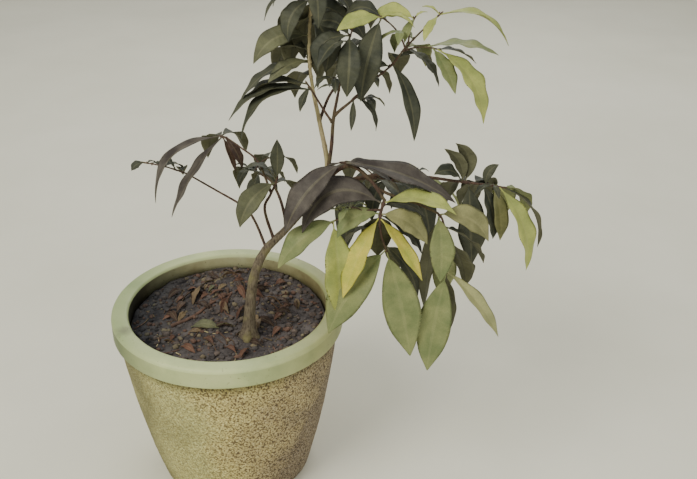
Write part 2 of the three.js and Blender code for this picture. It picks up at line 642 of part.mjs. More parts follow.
function pairRows(pairs, random) {
  if (pairs.length === 0) {
    return [];
  }
  const [count, first, last, firstBearing, reach, drop, rise] = pairs;
  const rows = [];
  for (let i = 0; i < count; i += 1) {
    const share = i / (count - 1);
    for (const side of [0, 180]) {
      const bearing = firstBearing + PAIR_TURN * i + side + (random() - 0.5) * BEARING_SPREAD;
      const leafReach = reach * (REACH_SPREAD[0] + REACH_SPREAD[1] * random()) * (1 - REACH_LOSS * share);
      const leafDrop = drop * (DROP_SPREAD[0] + DROP_SPREAD[1] * random()) * (1 - DROP_LOSS * rise * share);
      const arch = PAIR_ARCH * Math.hypot(leafReach, leafDrop);
      rows.push([first + (last - first) * share, bearing, leafReach, leafDrop, arch, "dark"]);
    }
  }
  return rows;
}

function growSpray(spray) {
  const [footRadius, tipRadius] = spray.radii;
  const bough = curveThrough(LIMBS[spray.bough][2]);
  const start = bough.getPoint(1).addScaledVector(bough.getTangent(1), GAP);
  const stem = curveThrough([start.toArray(), ...spray.stem]);
  const twigs = [{ curve: stem, footRadius, tipRadius, steps: STEM_STEPS * spray.stem.length }];
  const leaves = spray.leaves.map((row) => makeLeaf(stem, row));
  for (const [[along, bearing, reach, drop, arch], rows] of spray.shoots) {
    const curve = archFrom(stem.getPoint(along), bearing, reach, drop, arch);
    const radii = { footRadius: SHOOT_FOOT * footRadius, tipRadius: SHOOT_TIP * tipRadius };
    twigs.push({ curve, ...radii, steps: SHOOT_STEPS });
    leaves.push(...rows.map((row) => makeLeaf(curve, row)));
  }
  return { stem, twigs, leaves };
}

// Single leaves and pairs fill a mass, each kept only where it is clear of the limbs and the other masses
function fillSpray(growth, { fill, pairs }, seed, limbPoints, otherPoints) {
  for (const row of [...fill, ...pairRows(pairs, makeRandom(seed))]) {
    const leaf = makeLeaf(growth.stem, row);
    if (isClear(leaf, limbPoints, otherPoints)) {
      growth.leaves.push(leaf);
    }
  }
}

function growCrown() {
  const names = Object.keys(SPRAYS);
  const growths = names.map((name) => growSpray(SPRAYS[name]));
  const limbPoints = limbTestPoints();
  names.forEach((name, index) => {
    const others = growths.filter((growth) => growth !== growths[index]);
    const otherPoints = others.flatMap(growthTestPoints);
    fillSpray(growths[index], SPRAYS[name], SEED + SEED_STEP * index, limbPoints, otherPoints);
  });
  return Object.fromEntries(names.map((name, index) => [name, growths[index]]));
}

function twigSolid({ curve, footRadius, tipRadius, steps }) {
  return solidOf(skinRings(tubeRings(curve, footRadius, tipRadius, TWIG_SIDES, steps, noBulge)));
}

function makeMass(name, { twigs, leaves }) {
  const pieces = [...twigs.map(twigSolid), ...leaves.map(leafSolid)];
  const joined = wasm.Manifold.union(pieces);
  return largestPiece(joined.subtract(limbSolid(SPRAYS[name].bough, GAP)));
}

// Assembly
const plant = new THREE.Group();
plant.name = 'potted_tree';

function addNode(name, solid, finish) {
  const material = new THREE.MeshStandardMaterial({ ...FINISHES[finish], metalness: 0 });
  const mesh = new THREE.Mesh(geometryOf(solid), material);
  mesh.name = name;
  plant.add(mesh);
}

addNode('pot_body', makePotBody(), 'pot');
addNode('pot_rim', makePotRim(), 'rim');
addNode('soil', makeSoil(), 'soil');
addNode('trunk', makeTrunk(), 'bark');
for (const name of Object.keys(PARENTS)) {
  addNode(name, makeBough(name), 'bark');
}
for (const [name, growth] of Object.entries(growCrown())) {
  addNode(name, makeMass(name, growth), PALE_MASSES.includes(name) ? 'greenLeaf' : 'darkLeaf');
}

export default plant;
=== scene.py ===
"""A young rose apple tree in a tapered planter with a pale rim band.

The plant is grown by the same rule as its solids, in millimetres, and built in metres.
+X is to the right, -Y toward the viewer and +Z up, from the centre of the pot's underside.
"""
import json
import math

import bmesh
import bpy
import numpy as np
from mathutils import Matrix, Vector, noise

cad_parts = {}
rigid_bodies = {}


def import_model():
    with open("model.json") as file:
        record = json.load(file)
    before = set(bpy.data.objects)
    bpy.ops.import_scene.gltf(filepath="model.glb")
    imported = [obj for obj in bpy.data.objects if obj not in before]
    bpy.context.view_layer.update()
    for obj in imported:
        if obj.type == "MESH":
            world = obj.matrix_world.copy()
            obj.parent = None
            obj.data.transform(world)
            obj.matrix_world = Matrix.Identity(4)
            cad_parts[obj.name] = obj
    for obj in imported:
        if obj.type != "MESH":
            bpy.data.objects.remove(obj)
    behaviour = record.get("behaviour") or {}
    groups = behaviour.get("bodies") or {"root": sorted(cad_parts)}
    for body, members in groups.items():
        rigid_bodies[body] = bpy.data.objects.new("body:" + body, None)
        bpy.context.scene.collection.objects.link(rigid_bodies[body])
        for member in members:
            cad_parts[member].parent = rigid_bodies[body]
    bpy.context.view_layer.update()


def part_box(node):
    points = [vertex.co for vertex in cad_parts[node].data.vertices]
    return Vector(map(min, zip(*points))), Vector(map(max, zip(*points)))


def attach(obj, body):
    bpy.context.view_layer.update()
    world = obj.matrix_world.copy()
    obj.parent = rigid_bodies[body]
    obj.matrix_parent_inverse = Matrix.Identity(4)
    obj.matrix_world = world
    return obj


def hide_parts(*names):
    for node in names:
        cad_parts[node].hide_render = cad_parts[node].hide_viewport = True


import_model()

MM = 0.001
UP = np.array([0.0, 0.0, 1.0])

# The photograph's width and focal length in pixels, and its view in metres and degrees
PHOTO_WIDTH = 697
FOCAL_PIXELS = 940
SENSOR = 36
CAMERA_PLACE = (0.157, -1.044, 0.904)
CAMERA_PITCH = 28.17
CAMERA_ROLL = 0.3

# Pot, as the solids have it
POT_HEIGHT = 250
RIM_OUTER_RADIUS = 150
MOUTH_RADIUS = 128
BAND_HEIGHT = 27
BODY_TOP_RADIUS = 143
BODY_TAPER = 0.095
BODY_BULGE = 0.00041
WALL = 15
FLOOR = 18
EDGE_ROUND = 5
FOOT_CHAMFER = 3
DRAIN_HOLES = 3
DRAIN_RADIUS = 8
DRAIN_CIRCLE = 48
GAP = 0.3

# Soil and the trunk's root flare, as the solids have them
SOIL_EDGE_HEIGHT = 227
MOUND_HEIGHT = 26
MOUND_CENTRE = (8, 40)
MOUND_SPREAD = 45
SOIL_CLEARANCE = 1
GROUND = 231
FLARE = 5.5
FLARE_FADE = 11
FLARE_ROOTS = 4
FLARE_LOBE = 0.35
FLARE_TURN = 0.6

# Leaves and twigs, as the solids have them, and how clear of the rest each leaf has to be
LEAF_WIDTH = 0.33
LEAF_STALK = 0.07
LEAF_FOLD = 0.22
LEAF_FULLNESS = 0.75
TIP_NARROWING = 0.5
TIP_POWER = 6
STALK_HALF = 0.9
LIMB_CLEARANCE = 3.5
LEAF_CLEARANCE = 11
TEST_SECTIONS = (0.3, 0.55, 0.8, 1)
LIMB_TEST_STEPS = 10
STEM_STEPS = 3
SHOOT_STEPS = 3
SHOOT_FOOT = 0.8
SHOOT_TIP = 0.9

# Pairs, as the solids have them: they turn and shorten toward the tip of their mass
PAIR_TURN = 90
BEARING_SPREAD = 30
REACH_SPREAD = (0.85, 0.3)
DROP_SPREAD = (0.7, 0.6)
REACH_LOSS = 0.35
DROP_LOSS = 0.9
PAIR_ARCH = 0.22

# The source of numbers, and its starts
RANDOM_FACTOR = 48271
RANDOM_PRIME = 2147483647
SEED = 101
SEED_STEP = 17
SPRIG_SEED = 977
SPRIG_SEED_STEP = 31
BLADE_SEED = 5005
CRUMB_SEED = 4201
LITTER_SEED = 6007

# The fine leaves: how many places along and which across the blade, then its twist in degrees, its bend as a
# share of its length, its relief in millimetres and the other shares of its form
LEAF_STATIONS = 56
LEAF_COLUMNS = (-1, -0.78, -0.52, -0.27, -0.1, 0, 0.1, 0.27, 0.52, 0.78, 1)
LEAF_TWIST = 8
LEAF_BEND = 0.03
LEAF_SKIN = 0.2
VEIN_SPACING = 7
VEIN_DEPTH = 0.3
VEIN_SLANT = 0.7
WAVE_DEPTH = 0.1
BLADE_OPENING = 20
RIB_TAPER = 0.8
RIB_ABOVE = 0.2
RIB_BELOW = 0.8

# Boughs with pale straw bark
STRAW_BOUGHS = ("bough_leader",)

# Dry leaves on the soil: x, y, bearing, length, arch, tint and roll
LITTER = [
    (-45, 56, 265, 44, 7, "litter_tan", 40),
    (-45, -30, 350, 38, 5, "moss", 30),
    (-14, -36, 12, 24, 4, "olive", -30),
    (44, 20, 170, 26, 6, "litter_red", -35),
    (8, 34, 300, 26, 6, "litter_red", 40),
    (0, 12, 250, 24, 6, "litter_red", -40),
    (-78, 6, 300, 26, 5, "brown", 35),
    (-66, 30, 40, 26, 5, "brown", -30),
    (-24, 62, 200, 22, 4, "litter_tan", 30),
    (-30, 34, 60, 14, 3, "moss", 20),
    (60, -6, 20, 24, 5, "brown", 32),
]

# Sticks on the soil: the spots that each runs through, its radius and its look: 1 reddish, 2 straw
STICKS = [
    (((-72, -26), (-45, -10), (-22, 8), (10, 26)), 2.6, 1),
    (((-42, -31), (-30, -37), (-14, -45), (4, -41)), 1.1, 2),
    (((2, 20), (-6, 4), (-2, -12), (10, -18)), 1.5, 1),
    (((28, 30), (40, 22), (58, 20)), 1.2, 1),
    (((-30, 46), (-18, 40), (-8, 42)), 0.9, 2),
]

# Trunk and boughs: the radius at the foot, the radius at the tip, and the points of the centre line
LIMBS = {
  "trunk": [7.2, 3.8, [[31, -48, 225], [34, -44, 272], [41, -38, 316], [55, -31, 346], [80, -24, 371],
    [106, -18, 400]]],
  "bough_leader": [3.8, 2.2, [[104, -18, 397], [127, -16, 430], [131, -12, 456], [123, -5, 500],
    [115, 0, 540]]],
  "bough_second": [2.5, 1.6, [[131, -14, 440], [136, -16, 475], [139, -14, 513], [144, -14, 541]]],
  "bough_upper_left": [1.5, 1.1, [[137, -15, 508], [127, -18, 525], [116, -20, 545]]],
  "bough_upper_right": [1.8, 1.5, [[140, -14, 516], [149, -16, 525], [158, -17, 533]]],
  "bough_right_front": [3.0, 1.8, [[110, -20, 408], [136, -38, 450], [159, -55, 470], [181, -66, 458],
    [198, -72, 435]]],
  "bough_right_low": [1.8, 1.4, [[190, -68, 447], [212, -66, 436], [235, -70, 430], [259, -76, 421]]],
  "bough_right_far": [2.8, 1.6, [[122, -15, 424], [185, -16, 440], [240, -19, 441], [290, -20, 435]]],
  "bough_centre": [2.0, 1.6, [[159, -55, 470], [156, -60, 474], [154, -65, 478]]],
  "bough_left_low": [1.7, 1.0, [[56, -30, 348], [41, -10, 376], [26, 0, 391], [-9, 15, 406],
    [-44, 25, 423]]],
  "bough_left_inner": [1.9, 1.3, [[66, -28, 357], [55, -20, 396], [62, -16, 414], [68, -15, 426]]],
  "bough_left_arch": [1.4, 0.9, [[63, -16, 418], [48, -6, 453], [26, 8, 466], [8, 20, 474]]],
  "bough_back": [2.4, 1.4, [[98, -19, 391], [112, 20, 400], [140, 55, 402], [175, 80, 392]]],
  "bough_back_left": [2.0, 1.2, [[82, -23, 373], [72, 14, 392], [58, 46, 404], [44, 66, 404]]],
  "bough_back_upper": [1.9, 1.3, [[122, -4, 505], [134, 22, 528], [152, 42, 545]]],
}

# Masses of foliage. Each has its stem's radii and points, and its bough where that bears another name.
# A leaf's row is its place along the stem, bearing, reach, drop, arch, tint, roll and breadth. The last three
# are dark, 0 and 1 where left out. A shoot is its place, bearing, reach, drop and arch, then its own leaves.
# Pairs are their count, first and last place, first bearing, reach, drop and their rise toward the tip.
# Where a row gives the dark tint, or leaves the tint out, the leaf gets painted shade.
SPRAYS = {
  "foliage_top": {
    "bough": "bough_leader", "radii": [2.1, 0.9],
    "stem": [[111, 5, 577], [113, 8, 633], [118, 6, 680], [126, 2, 716]],
    "leaves": [
      [0.37, 197, 66, 27, 16, "moss", -40], [0.23, 197, 84, 42, 15, "dark", 0, 0.75],
      [0.24, 213, 55, 17, 8, "moss", -20], [0.64, 187, 55, 39, 13, "dark", 0, 0.8],
      [0.58, 140, 42, 77, 14, "dark", -20, 1.3], [0.47, 128, 42, 75, 12, "dark", 0, 1.2],
      [0.47, 322, 21, 62, 15, "dark", 15, 1.3], [0.56, 218, 32, 44, 12, "dark", -30, 1.2],
      [0.64, 12, 46, 44, 12, "dark", 30, 1.4], [0.66, 280, 40, 42, 13],
      [0.52, 352, 40, 30, 12, "dark", 35, 1.4], [0.55, 110, 30, 76, 8, "dark", 0, 1.4]],
    "fill": [
      [0.32, 74, 27, 44, 9, "dark", 0, 1.3], [0.12, 112, 60, 46, 16],
      [0.2, 80, 56, 32, 14, "dark", 0, 1.1], [0.3, 130, 66, 48, 18], [0.42, 60, 60, 44, 15]],
    "pairs": [5, 0.62, 0.99, 300, 60, 40, 0.9],
  },
  "foliage_upper_left": {
    "radii": [1.1, 0.8], "stem": [[109, -19, 556]],
    "leaves": [
      [0.3, 187, 96, 34, 17, "dark", 0, 0.7], [0.35, 198, 84, 52, 23, "dark", 0, 0.7],
      [0.9, 175, 80, 31, 15, "dark", 0, 0.8], [0.6, 238, 20, 24, 3]],
  },
  "foliage_upper_middle": {
    "bough": "bough_second", "radii": [1.4, 0.9],
    "stem": [[148, -16, 564], [153, -18, 595], [160, -20, 618]],
    "leaves": [
      [0.08, 196, 26, -2, 6, "dark", 0, 0.6], [0.9, 264, 33, 60, 15, "dark", 0, 1.1],
      [0.66, 271, 22, 45, 6, "dark", 0, 0.9], [0.9, 204, 39, 37, 17, "dark", -30, 1.2],
      [0.88, 172, 42, -12, 12, "dark", -40, 1.3]],
    "fill": [
      [0.8, 40, 59, 56, 18, "dark", 20, 1.2], [0.62, 66, 48, 49, 14, "dark", 0, 1.3],
      [0.75, 100, 66, 36, 20], [0.5, 112, 58, 46, 16], [0.7, 30, 50, 40, 14], [0.5, 330, 30, 44, 12]],
    "pairs": [3, 0.6, 0.99, 140, 60, 34, 1.0],
  },
  "foliage_upper_right": {
    "radii": [1.4, 0.8],
    "stem": [[183, -14, 557], [205, -12, 576], [218, -8, 592], [237, -7, 613], [258, -6, 633]],
    "leaves": [
      [0.03, 262, 20, 32, 3, "dark", 0, 0.6], [0.05, 330, 27, 37, 9, "dark", 0, 0.8],
      [0.41, 306, 43, 80, 14, "dark", 0, 0.65], [0.62, 338, 42, 40, 9, "dark", 0, 1.1],
      [0.6, 60, 60, 36, 14, "green"], [0.38, 152, 44, 22, 8, "dark", -30, 1.2],
      [0.99, 0, 80, 36, 18, "lime", 0, 0.8], [0.99, 170, 20, -8, 3, "lime"],
      [0.97, 235, 28, 22, 4, "lime"]],
    "shoots": [
      [[0.62, 202, 32, -39, 5], [
        [0.97, 205, 53, 9, 5, "lime", -40, 1.1], [0.95, 222, 30, 90, 8, "dark", -40, 1],
        [0.97, 346, 38, 9, 7, "lime"], [0.8, 110, 50, 22, 12], [0.95, 163, 44, 6, 12, "dark", -30, 1.2]]],
      [[0.66, 315, 8, -32, 2], [
        [0.97, 178, 46, -2, 7, "lime", -35, 1.2], [0.97, 240, 22, 22, 4, "green"],
        [0.97, 20, 16, -6, 3, "lime"]]],
      [[0.58, 340, 42, -7, 4], [
        [0.97, 328, 62, 76, 16, "lime"], [0.85, 301, 46, 40, 5, "green"], [0.7, 348, 80, 4, 9, "green"],
        [0.97, 20, 50, 22, 6]]]],
    "fill": [
      [0.5, 40, 56, 30, 13], [0.3, 140, 56, 34, 16], [0.46, 84, 60, 40, 16],
      [0.72, 112, 50, 30, 12, "green"]],
  },
  "foliage_right_front": {
    "radii": [1.8, 0.9], "stem": [[193, -79, 417], [195, -83, 395], [202, -85, 374]],
    "leaves": [
      [0.06, 344, 85, 3, 14, "lime", 15, 0.95], [0.28, 200, 53, 22, 13, "green", -30, 1.15],
      [0.33, 212, 50, 94, 7, "gold", -15, 0.8], [0.36, 329, 58, 66, 6, "gold", 0, 0.8],
      [0.28, 342, 57, 30, 12, "olive", 28, 1.3], [0.98, 316, 42, 128, 3, "green", 40],
      [0.95, 203, 73, 98, 8, "green", -40, 1.1], [0.08, 192, 95, 28, 33, "wine", -35],
      [0.3, 95, 14, 62, 4, "dark", 0, 1.8], [0.85, 5, 42, 74, 8, "dark", 30],
      [0.1, 38, 66, 34, 6, "dark", 30], [0.3, 18, 54, 60, 8, "dark", 30, 1.1]],
    "shoots": [
      [[0.2, 192, 58, 10, 5], [[0.97, 298, 18, 122, 2, "lime"], [0.9, 196, 70, 54, 9, "green", -25, 1.1]]]],
    "fill": [[0.5, 150, 52, 60, 14], [0.9, 70, 46, 60, 10]],
  },
  "foliage_right_low": {
    "radii": [1.4, 0.9], "stem": [[266, -80, 411], [272, -84, 377], [272, -86, 344]],
    "leaves": [
      [0.08, 278, 24, 76, 3, "green", 0, 1.15], [0.08, 346, 59, 27, 15, "olive", 30, 1.3],
      [0.98, 236, 34, 120, 3, "green", -25], [0.95, 344, 68, 80, 9, "pale", 20, 0.6],
      [0.4, 21, 56, 60, 8, "dark", 0, 1.1], [0.55, 40, 38, 78, 8, "dark", 0, 1.2],
      [0.97, 60, 12, 98, 4, "dark", 0, 0.7], [0.1, 122, 20, 136, 3, "dark", 0, 0.6]],
    "fill": [[0.75, 90, 36, 80, 8, "green"], [0.3, 176, 26, 86, 6]],
  },
  "foliage_right_far": {
    "radii": [1.5, 0.9], "stem": [[315, -18, 431], [345, -15, 425]],
    "leaves": [
      [0.04, 209, 41, -18, 9, "dark", -25, 1.3], [0.06, 188, 25, -44, 6, "dark", 50, 1.1],
      [0.12, 209, 18, -54, 10, "dark", 40, 1.0], [0.62, 22, 16, -24, 6, "dark", 50, 1.2],
      [0.55, 309, 23, 65, 6, "dark", 0, 1.2], [0.2, 290, 24, 100, 5, "dark", 0, 1.1],
      [0.88, 322, 47, 100, 16, "lime", 0, 0.95], [0.99, 8, 50, 86, 17, "dark", 0, 0.7],
      [0.78, 303, 19, 66, 5, "olive"]],
    "fill": [
      [0.55, 95, 50, 62, 16], [0.9, 75, 48, 70, 16, "green"], [0.15, 110, 55, 60, 16],
      [0.35, 62, 60, 44, 14], [0.75, 122, 58, 52, 15], [0.99, 45, 50, 56, 14, "green"]],
  },
  "foliage_centre": {
    "radii": [1.5, 0.9], "stem": [[149, -70, 481]],
    "leaves": [
      [0.5, 206, 74, 73, 14, "wine", -25, 0.95], [0.95, 146, 46, 50, 8, "wine"],
      [0.4, 2, 130, 53, 11, "wine", 10, 0.8], [0.6, 26, 76, 56, 8, "wine", 15, 1.2]],
    "fill": [[0.9, 60, 50, 40, 8, "wine"], [0.8, 110, 54, 44, 9, "wine"]],
  },
  "foliage_left_low": {
    "radii": [1.0, 0.8], "stem": [[-72, 27, 432], [-99, 30, 436]],
    "leaves": [
      [0.25, 172, 25, -6, 9, "dark", 0, 1.2], [0.98, 200, 16, 9, 3, "dark", -30, 1.8],
      [0.9, 60, 16, 6, 3], [0.6, 130, 22, 8, 4], [0.5, 50, 30, 14, 6]],
    "fill": [[0.1, 100, 36, 20, 8]],
  },
  "foliage_left_inner": {
    "radii": [1.3, 0.9], "stem": [[71, -15, 436]],
    "leaves": [
      [0.4, 217, 53, 45, 13, "moss", -30, 1.1], [0.97, 85, 9, -47, 1, "dark", 0, 1.1],
      [0.6, 192, 42, -18, 13], [0.7, 130, 50, 20, 12]],
    "fill": [[0.3, 60, 46, 40, 12]],
  },
  "foliage_left_arch": {
    "radii": [0.9, 0.8], "stem": [[0, 24, 474]],
    "leaves": [
      [0.97, 194, 85, 82, 25, "wine", 0, 0.6], [0.6, 203, 71, 97, 8, "wine", 0, 0.65],
      [0.4, 325, 28, 36, 7, "brown"], [0.6, 309, 26, 39, 3, "brown", 0, 0.6], [0.97, 60, 50, 40, 14]],
    "fill": [[0.7, 120, 52, 48, 14]],
  },
  "foliage_back": {
    "radii": [1.4, 0.9], "stem": [[205, 98, 384], [240, 108, 368]],
    "shoots": [
      [[0.3, 120, 50, 0, 4], [[0.98, 100, 60, 55, 16], [0.98, 190, 60, 50, 16], [0.6, 50, 56, 50, 15]]],
      [[0.6, 20, 50, 10, 4], [
        [0.98, 20, 60, 66, 16, "green"], [0.6, 300, 50, 70, 16], [0.9, 80, 56, 60, 16]]]],
    "fill": [[0.45, 110, 58, 66, 16], [0.85, 70, 54, 60, 15]],
    "pairs": [5, 0.08, 0.98, 60, 64, 66, 0.8],
  },
  "foliage_back_left": {
    "radii": [1.2, 0.8], "stem": [[32, 84, 402], [24, 102, 398]],
    "shoots": [[[0.4, 60, 34, -6, 4], [[0.98, 40, 46, 36, 12], [0.98, 110, 50, 42, 14]]]],
    "fill": [[0.1, 130, 50, 40, 14], [0.55, 120, 50, 44, 14], [0.8, 60, 54, 50, 14]],
    "pairs": [4, 0.1, 0.98, 60, 38, 28, 1.0],
  },
  "foliage_back_upper": {
    "radii": [1.3, 0.8], "stem": [[166, 56, 560], [176, 64, 580]],
    "fill": [
      [0.3, 120, 58, 44, 14], [0.1, 176, 56, 36, 14], [0.3, 30, 54, 44, 14], [0.5, 80, 60, 40, 15],
      [0.99, 172, 34, -26, 8, "dark", -40, 1.3], [0.85, 340, 40, 30, 12, "dark", 30, 1.2]],
    "pairs": [4, 0.4, 0.98, 160, 58, 40, 1.0],
  },
}


# The growth rule: curves, and where each twig and each leaf lies

def curve_through(points):
    """The smooth line through the points, as a function of t from 0 to 1."""
    knots = [np.array(point, float) for point in points]
    knots = [2 * knots[0] - knots[1], *knots, 2 * knots[-1] - knots[-2]]
    spans = len(points) - 1

    def point_at(t):
        span = min(int(t * spans), spans - 1)
        w = t * spans - span
        a, b, c, d = knots[span:span + 4]
        bend = 2 * a - 5 * b + 4 * c - d + w * (3 * (b - c) + d - a)
        return b + 0.5 * w * (c - a + w * bend)

    return point_at


def arch_from(base, bearing, reach, drop, arch):
    """A twig or a midrib: an arched curve from its base, aimed by a bearing, a reach and a drop."""
    angle = math.radians(bearing)
    ahead = np.array([math.cos(angle), math.sin(angle), 0.0])
    tip = base + reach * ahead - drop * UP
    lift = (drop * ahead + reach * UP) / math.hypot(reach, drop)
    middle = (base + tip) / 2 + 2 * arch * lift
    return lambda t: (1 - t) ** 2 * base + 2 * t * (1 - t) * middle + t * t * tip


def tangent_of(curve, t):
    step = 0.0001
    run = curve(min(1, t + step)) - curve(max(0, t - step))
    return run / np.linalg.norm(run)


def length_of(curve, steps=200):
    points = np.array([curve(i / steps) for i in range(steps + 1)])
    return np.linalg.norm(np.diff(points, axis=0), axis=1).sum()


def turn_about(vector, axis, degrees):
    """A vector turned about a unit axis that is square to it."""
    angle = math.radians(degrees)
    return vector * math.cos(angle) + np.cross(axis, vector) * math.sin(angle)


def random_numbers(seed):
    """A seeded source of numbers from 0 to 1, the same in every language."""
    state = seed
    while True:
        state = state * RANDOM_FACTOR % RANDOM_PRIME
        yield state / RANDOM_PRIME


def pick(numbers, least, most, power=1):
    """A size between the least and the most. A power above 1 makes small ones more likely."""
    return least + (most - least) * next(numbers) ** power


class Leaf:
    """A leaf on its parent's curve: place along it, bearing, reach, drop, arch, tint, roll and breadth."""

    def __init__(self, parent, row):
        # A leaf left without a tint takes the dark tint, which is painted shade.
        along, bearing, reach, drop, arch, tint, roll, breadth = [*row, *("dark", 0, 1)[len(row) - 5:]]
        self.parent = parent
        self.along = along
        self.rib = arch_from(parent(along), bearing, reach, drop, arch)
        self.bearing = bearing
        self.tint = tint
        self.roll = roll
        self.breadth = breadth
        self.length = length_of(self.rib)

    def frame_at(self, t, twist=0.0):
        """The rib's point, and the directions across the blade and out of its face."""
        angle = math.radians(self.bearing)
        along = tangent_of(self.rib, t)
        level = np.array([-math.sin(angle), math.cos(angle), 0.0])
        across = turn_about(level, along, self.roll + twist)
        return self.rib(t), across, np.cross(along, across)

    def half_width(self, t):
        u = min(1, max(0, (t - LEAF_STALK) / (1 - LEAF_STALK)))
        blade = abs(math.sin(math.pi * u)) ** LEAF_FULLNESS * (1 - TIP_NARROWING * u ** TIP_POWER)
        return self.breadth * LEAF_WIDTH * self.length * blade / 2

    def test_points(self):
        points = []
        for t in TEST_SECTIONS:
            centre, across, _ = self.frame_at(t)
            half = self.half_width(t)
            points += [centre, centre + half * across, centre - half * across]
        return points


class Twig:
    """A stem or a side twig: its curve, its radii and the steps of its solid."""

    def __init__(self, curve, foot_radius, tip_radius, steps):
        self.curve = curve
        self.foot_radius = foot_radius
        self.tip_radius = tip_radius
        self.steps = steps

    def test_points(self):
        count = 2 * self.steps
        return [self.curve(i / count) for i in range(count + 1)]


class Spray:
    """A mass of foliage: one stem that runs on from its bough, side twigs and leaves."""

    def __init__(self, name, plan):
        self.plan = plan
        self.bough = plan.get("bough", name.replace("foliage", "bough"))
        foot_radius, tip_radius = plan["radii"]
        bough = curve_through(LIMBS[self.bough][2])
        start = bough(1) + GAP * tangent_of(bough, 1)
        self.stem = curve_through([start, *plan["stem"]])
        self.twigs = [Twig(self.stem, foot_radius, tip_radius, STEM_STEPS * len(plan["stem"]))]
        self.leaves = [Leaf(self.stem, row) for row in plan.get("leaves", [])]
        for (along, *aim), rows in plan.get("shoots", []):
            curve = arch_from(self.stem(along), *aim)
            self.twigs.append(Twig(curve, SHOOT_FOOT * foot_radius, SHOOT_TIP * tip_radius, SHOOT_STEPS))
            self.leaves += [Leaf(curve, row) for row in rows]

    def test_points(self):
        members = [*self.twigs, *self.leaves]
        return [point for member in members for point in member.test_points()]

    def fill(self, numbers, limb_points, limb_radii, other_points):
        """Single leaves and pairs, each kept only where it is clear of the limbs and the other masses."""
        pairs = pair_rows(*self.plan["pairs"], numbers) if "pairs" in self.plan else []
        for row in [*self.plan.get("fill", []), *pairs]:
            leaf = Leaf(self.stem, row)
            if is_clear(leaf, limb_points, limb_radii, other_points):
                self.leaves.append(leaf)


def pair_rows(count, first, last, first_bearing, reach, drop, rise, numbers):
    """Rows of leaves in pairs that stand square to each other along the stem."""
    for i in range(count):
        share = i / (count - 1)
        for side in (0, 180):
            bearing = first_bearing + PAIR_TURN * i + side + (next(numbers) - 0.5) * BEARING_SPREAD
            longer = REACH_SPREAD[0] + REACH_SPREAD[1] * next(numbers)
            lower = DROP_SPREAD[0] + DROP_SPREAD[1] * next(numbers)
            leaf_reach = reach * longer * (1 - REACH_LOSS * share)
            leaf_drop = drop * lower * (1 - DROP_LOSS * rise * share)
            arch = PAIR_ARCH * math.hypot(leaf_reach, leaf_drop)
            yield [first + (last - first) * share, bearing, leaf_reach, leaf_drop, arch]


def is_clear(leaf, limb_points, limb_radii, other_points):
    for point in leaf.test_points():
        if (np.linalg.norm(limb_points - point, axis=1) <= limb_radii + LIMB_CLEARANCE).any():
            return False
        if (np.linalg.norm(other_points - point, axis=1) <= LEAF_CLEARANCE).any():
            return False
    return True


def limb_test_points():
    """Points along the trunk and the boughs, and the limb's radius at each."""
    points = []
    radii = []
    for foot_radius, tip_radius, knots in LIMBS.values():
        curve = curve_through(knots)
        steps = LIMB_TEST_STEPS * (len(knots) - 1)
        for i in range(steps + 1):
            points.append(curve(i / steps))
            radii.append(foot_radius + (tip_radius - foot_radius) * i / steps)
    return np.array(points), np.array(radii)


def grow_crown(limb_points, limb_radii):
    sprays = {name: Spray(name, plan) for name, plan in SPRAYS.items()}
    for index, (name, spray) in enumerate(sprays.items()):
        others = [other for other in sprays.values() if other is not spray]
        other_points = np.array([point for other in others for point in other.test_points()])
        spray.fill(random_numbers(SEED + SEED_STEP * index), limb_points, limb_radii, other_points)
    return sprays


# Materials. A tone is a grey from 0 to 1, or its red, green and blue from 0 to 255 as the eye sees them

# For each tint of leaf, its lighter and its darker tone. The dark tint is painted shade: leaf colour darkened
# for leaves that sit in shadow.
TINTS = {
    "dark": ((84, 86, 70), (56, 60, 52)),
    "moss": ((112, 114, 86), (88, 90, 70)),
    "wine": ((100, 94, 88), (68, 62, 60)),
    "green": ((146, 152, 102), (118, 130, 86)),
    "olive": ((154, 152, 106), (124, 124, 86)),
    "lime": ((190, 196, 110), (158, 168, 96)),
    "gold": ((224, 210, 98), (186, 190, 86)),
    "pale": ((178, 178, 124), (150, 152, 108)),
    "brown": ((84, 66, 56), (56, 44, 40)),
    "litter_red": ((116, 84, 70), (82, 58, 50)),
    "litter_tan": ((136, 118, 92), (100, 84, 66)),
}

# A leaf's face, its underside and its rib: how far each is lifted toward straw, and its roughness
LEAF_PARTS = {"": (0, 0.55), "_under": (0.12, 0.6), "_rib": (0.08, 0.5)}
STRAW = (206, 200, 150)

# For each part of the rim band, three tones from dark to pale, then its specks and its painted shade at the
# left, partly stain on the paint and the band
RIM_TONES = {
    "rim_paint": ((182, 196, 146), (204, 214, 160), (218, 223, 174), (150, 154, 112), (200, 208, 200)),
    # The outer band's tones are darker than the top's: painted shade on the band's outer side.
    "rim_band": ((160, 174, 124), (188, 198, 144), (204, 210, 160), (136, 138, 98), (148, 156, 140)),
    # The inner wall: stains in its mottling, and deep painted shade at its left side, where the wall is in
    # shadow.
    "rim_grime_and_shade": ((144, 132, 98), (190, 188, 146), (220, 224, 184), (100, 88, 66), (60, 60, 60)),
}

# The place of the one dark stain on the rim band
RIM_STAIN = (-0.122, -0.067, 0.25)

# For each kind of earth, its lighter and its darker tone and the scale of its pattern
EARTHS = {
    "soil_dark": ((112, 105, 105), (48, 45, 49), 60),
    "soil_brown": ((124, 111, 105), (66, 59, 59), 150),
    "soil_red": ((134, 106, 94), (78, 61, 56), 150),
    "soil_tan": ((146, 134, 112), (92, 83, 71), 150),
}

# For each kind of bark, its lighter and its darker tone and the tone of its lichen
BARKS = {
    "bark_trunk": ((122, 112, 94), (70, 60, 54), (130, 124, 84)),
    "bark_bough": ((98, 78, 66), (56, 42, 42), (100, 92, 66)),
    "bark_straw": ((190, 178, 138), (142, 126, 98), (160, 154, 112)),
}


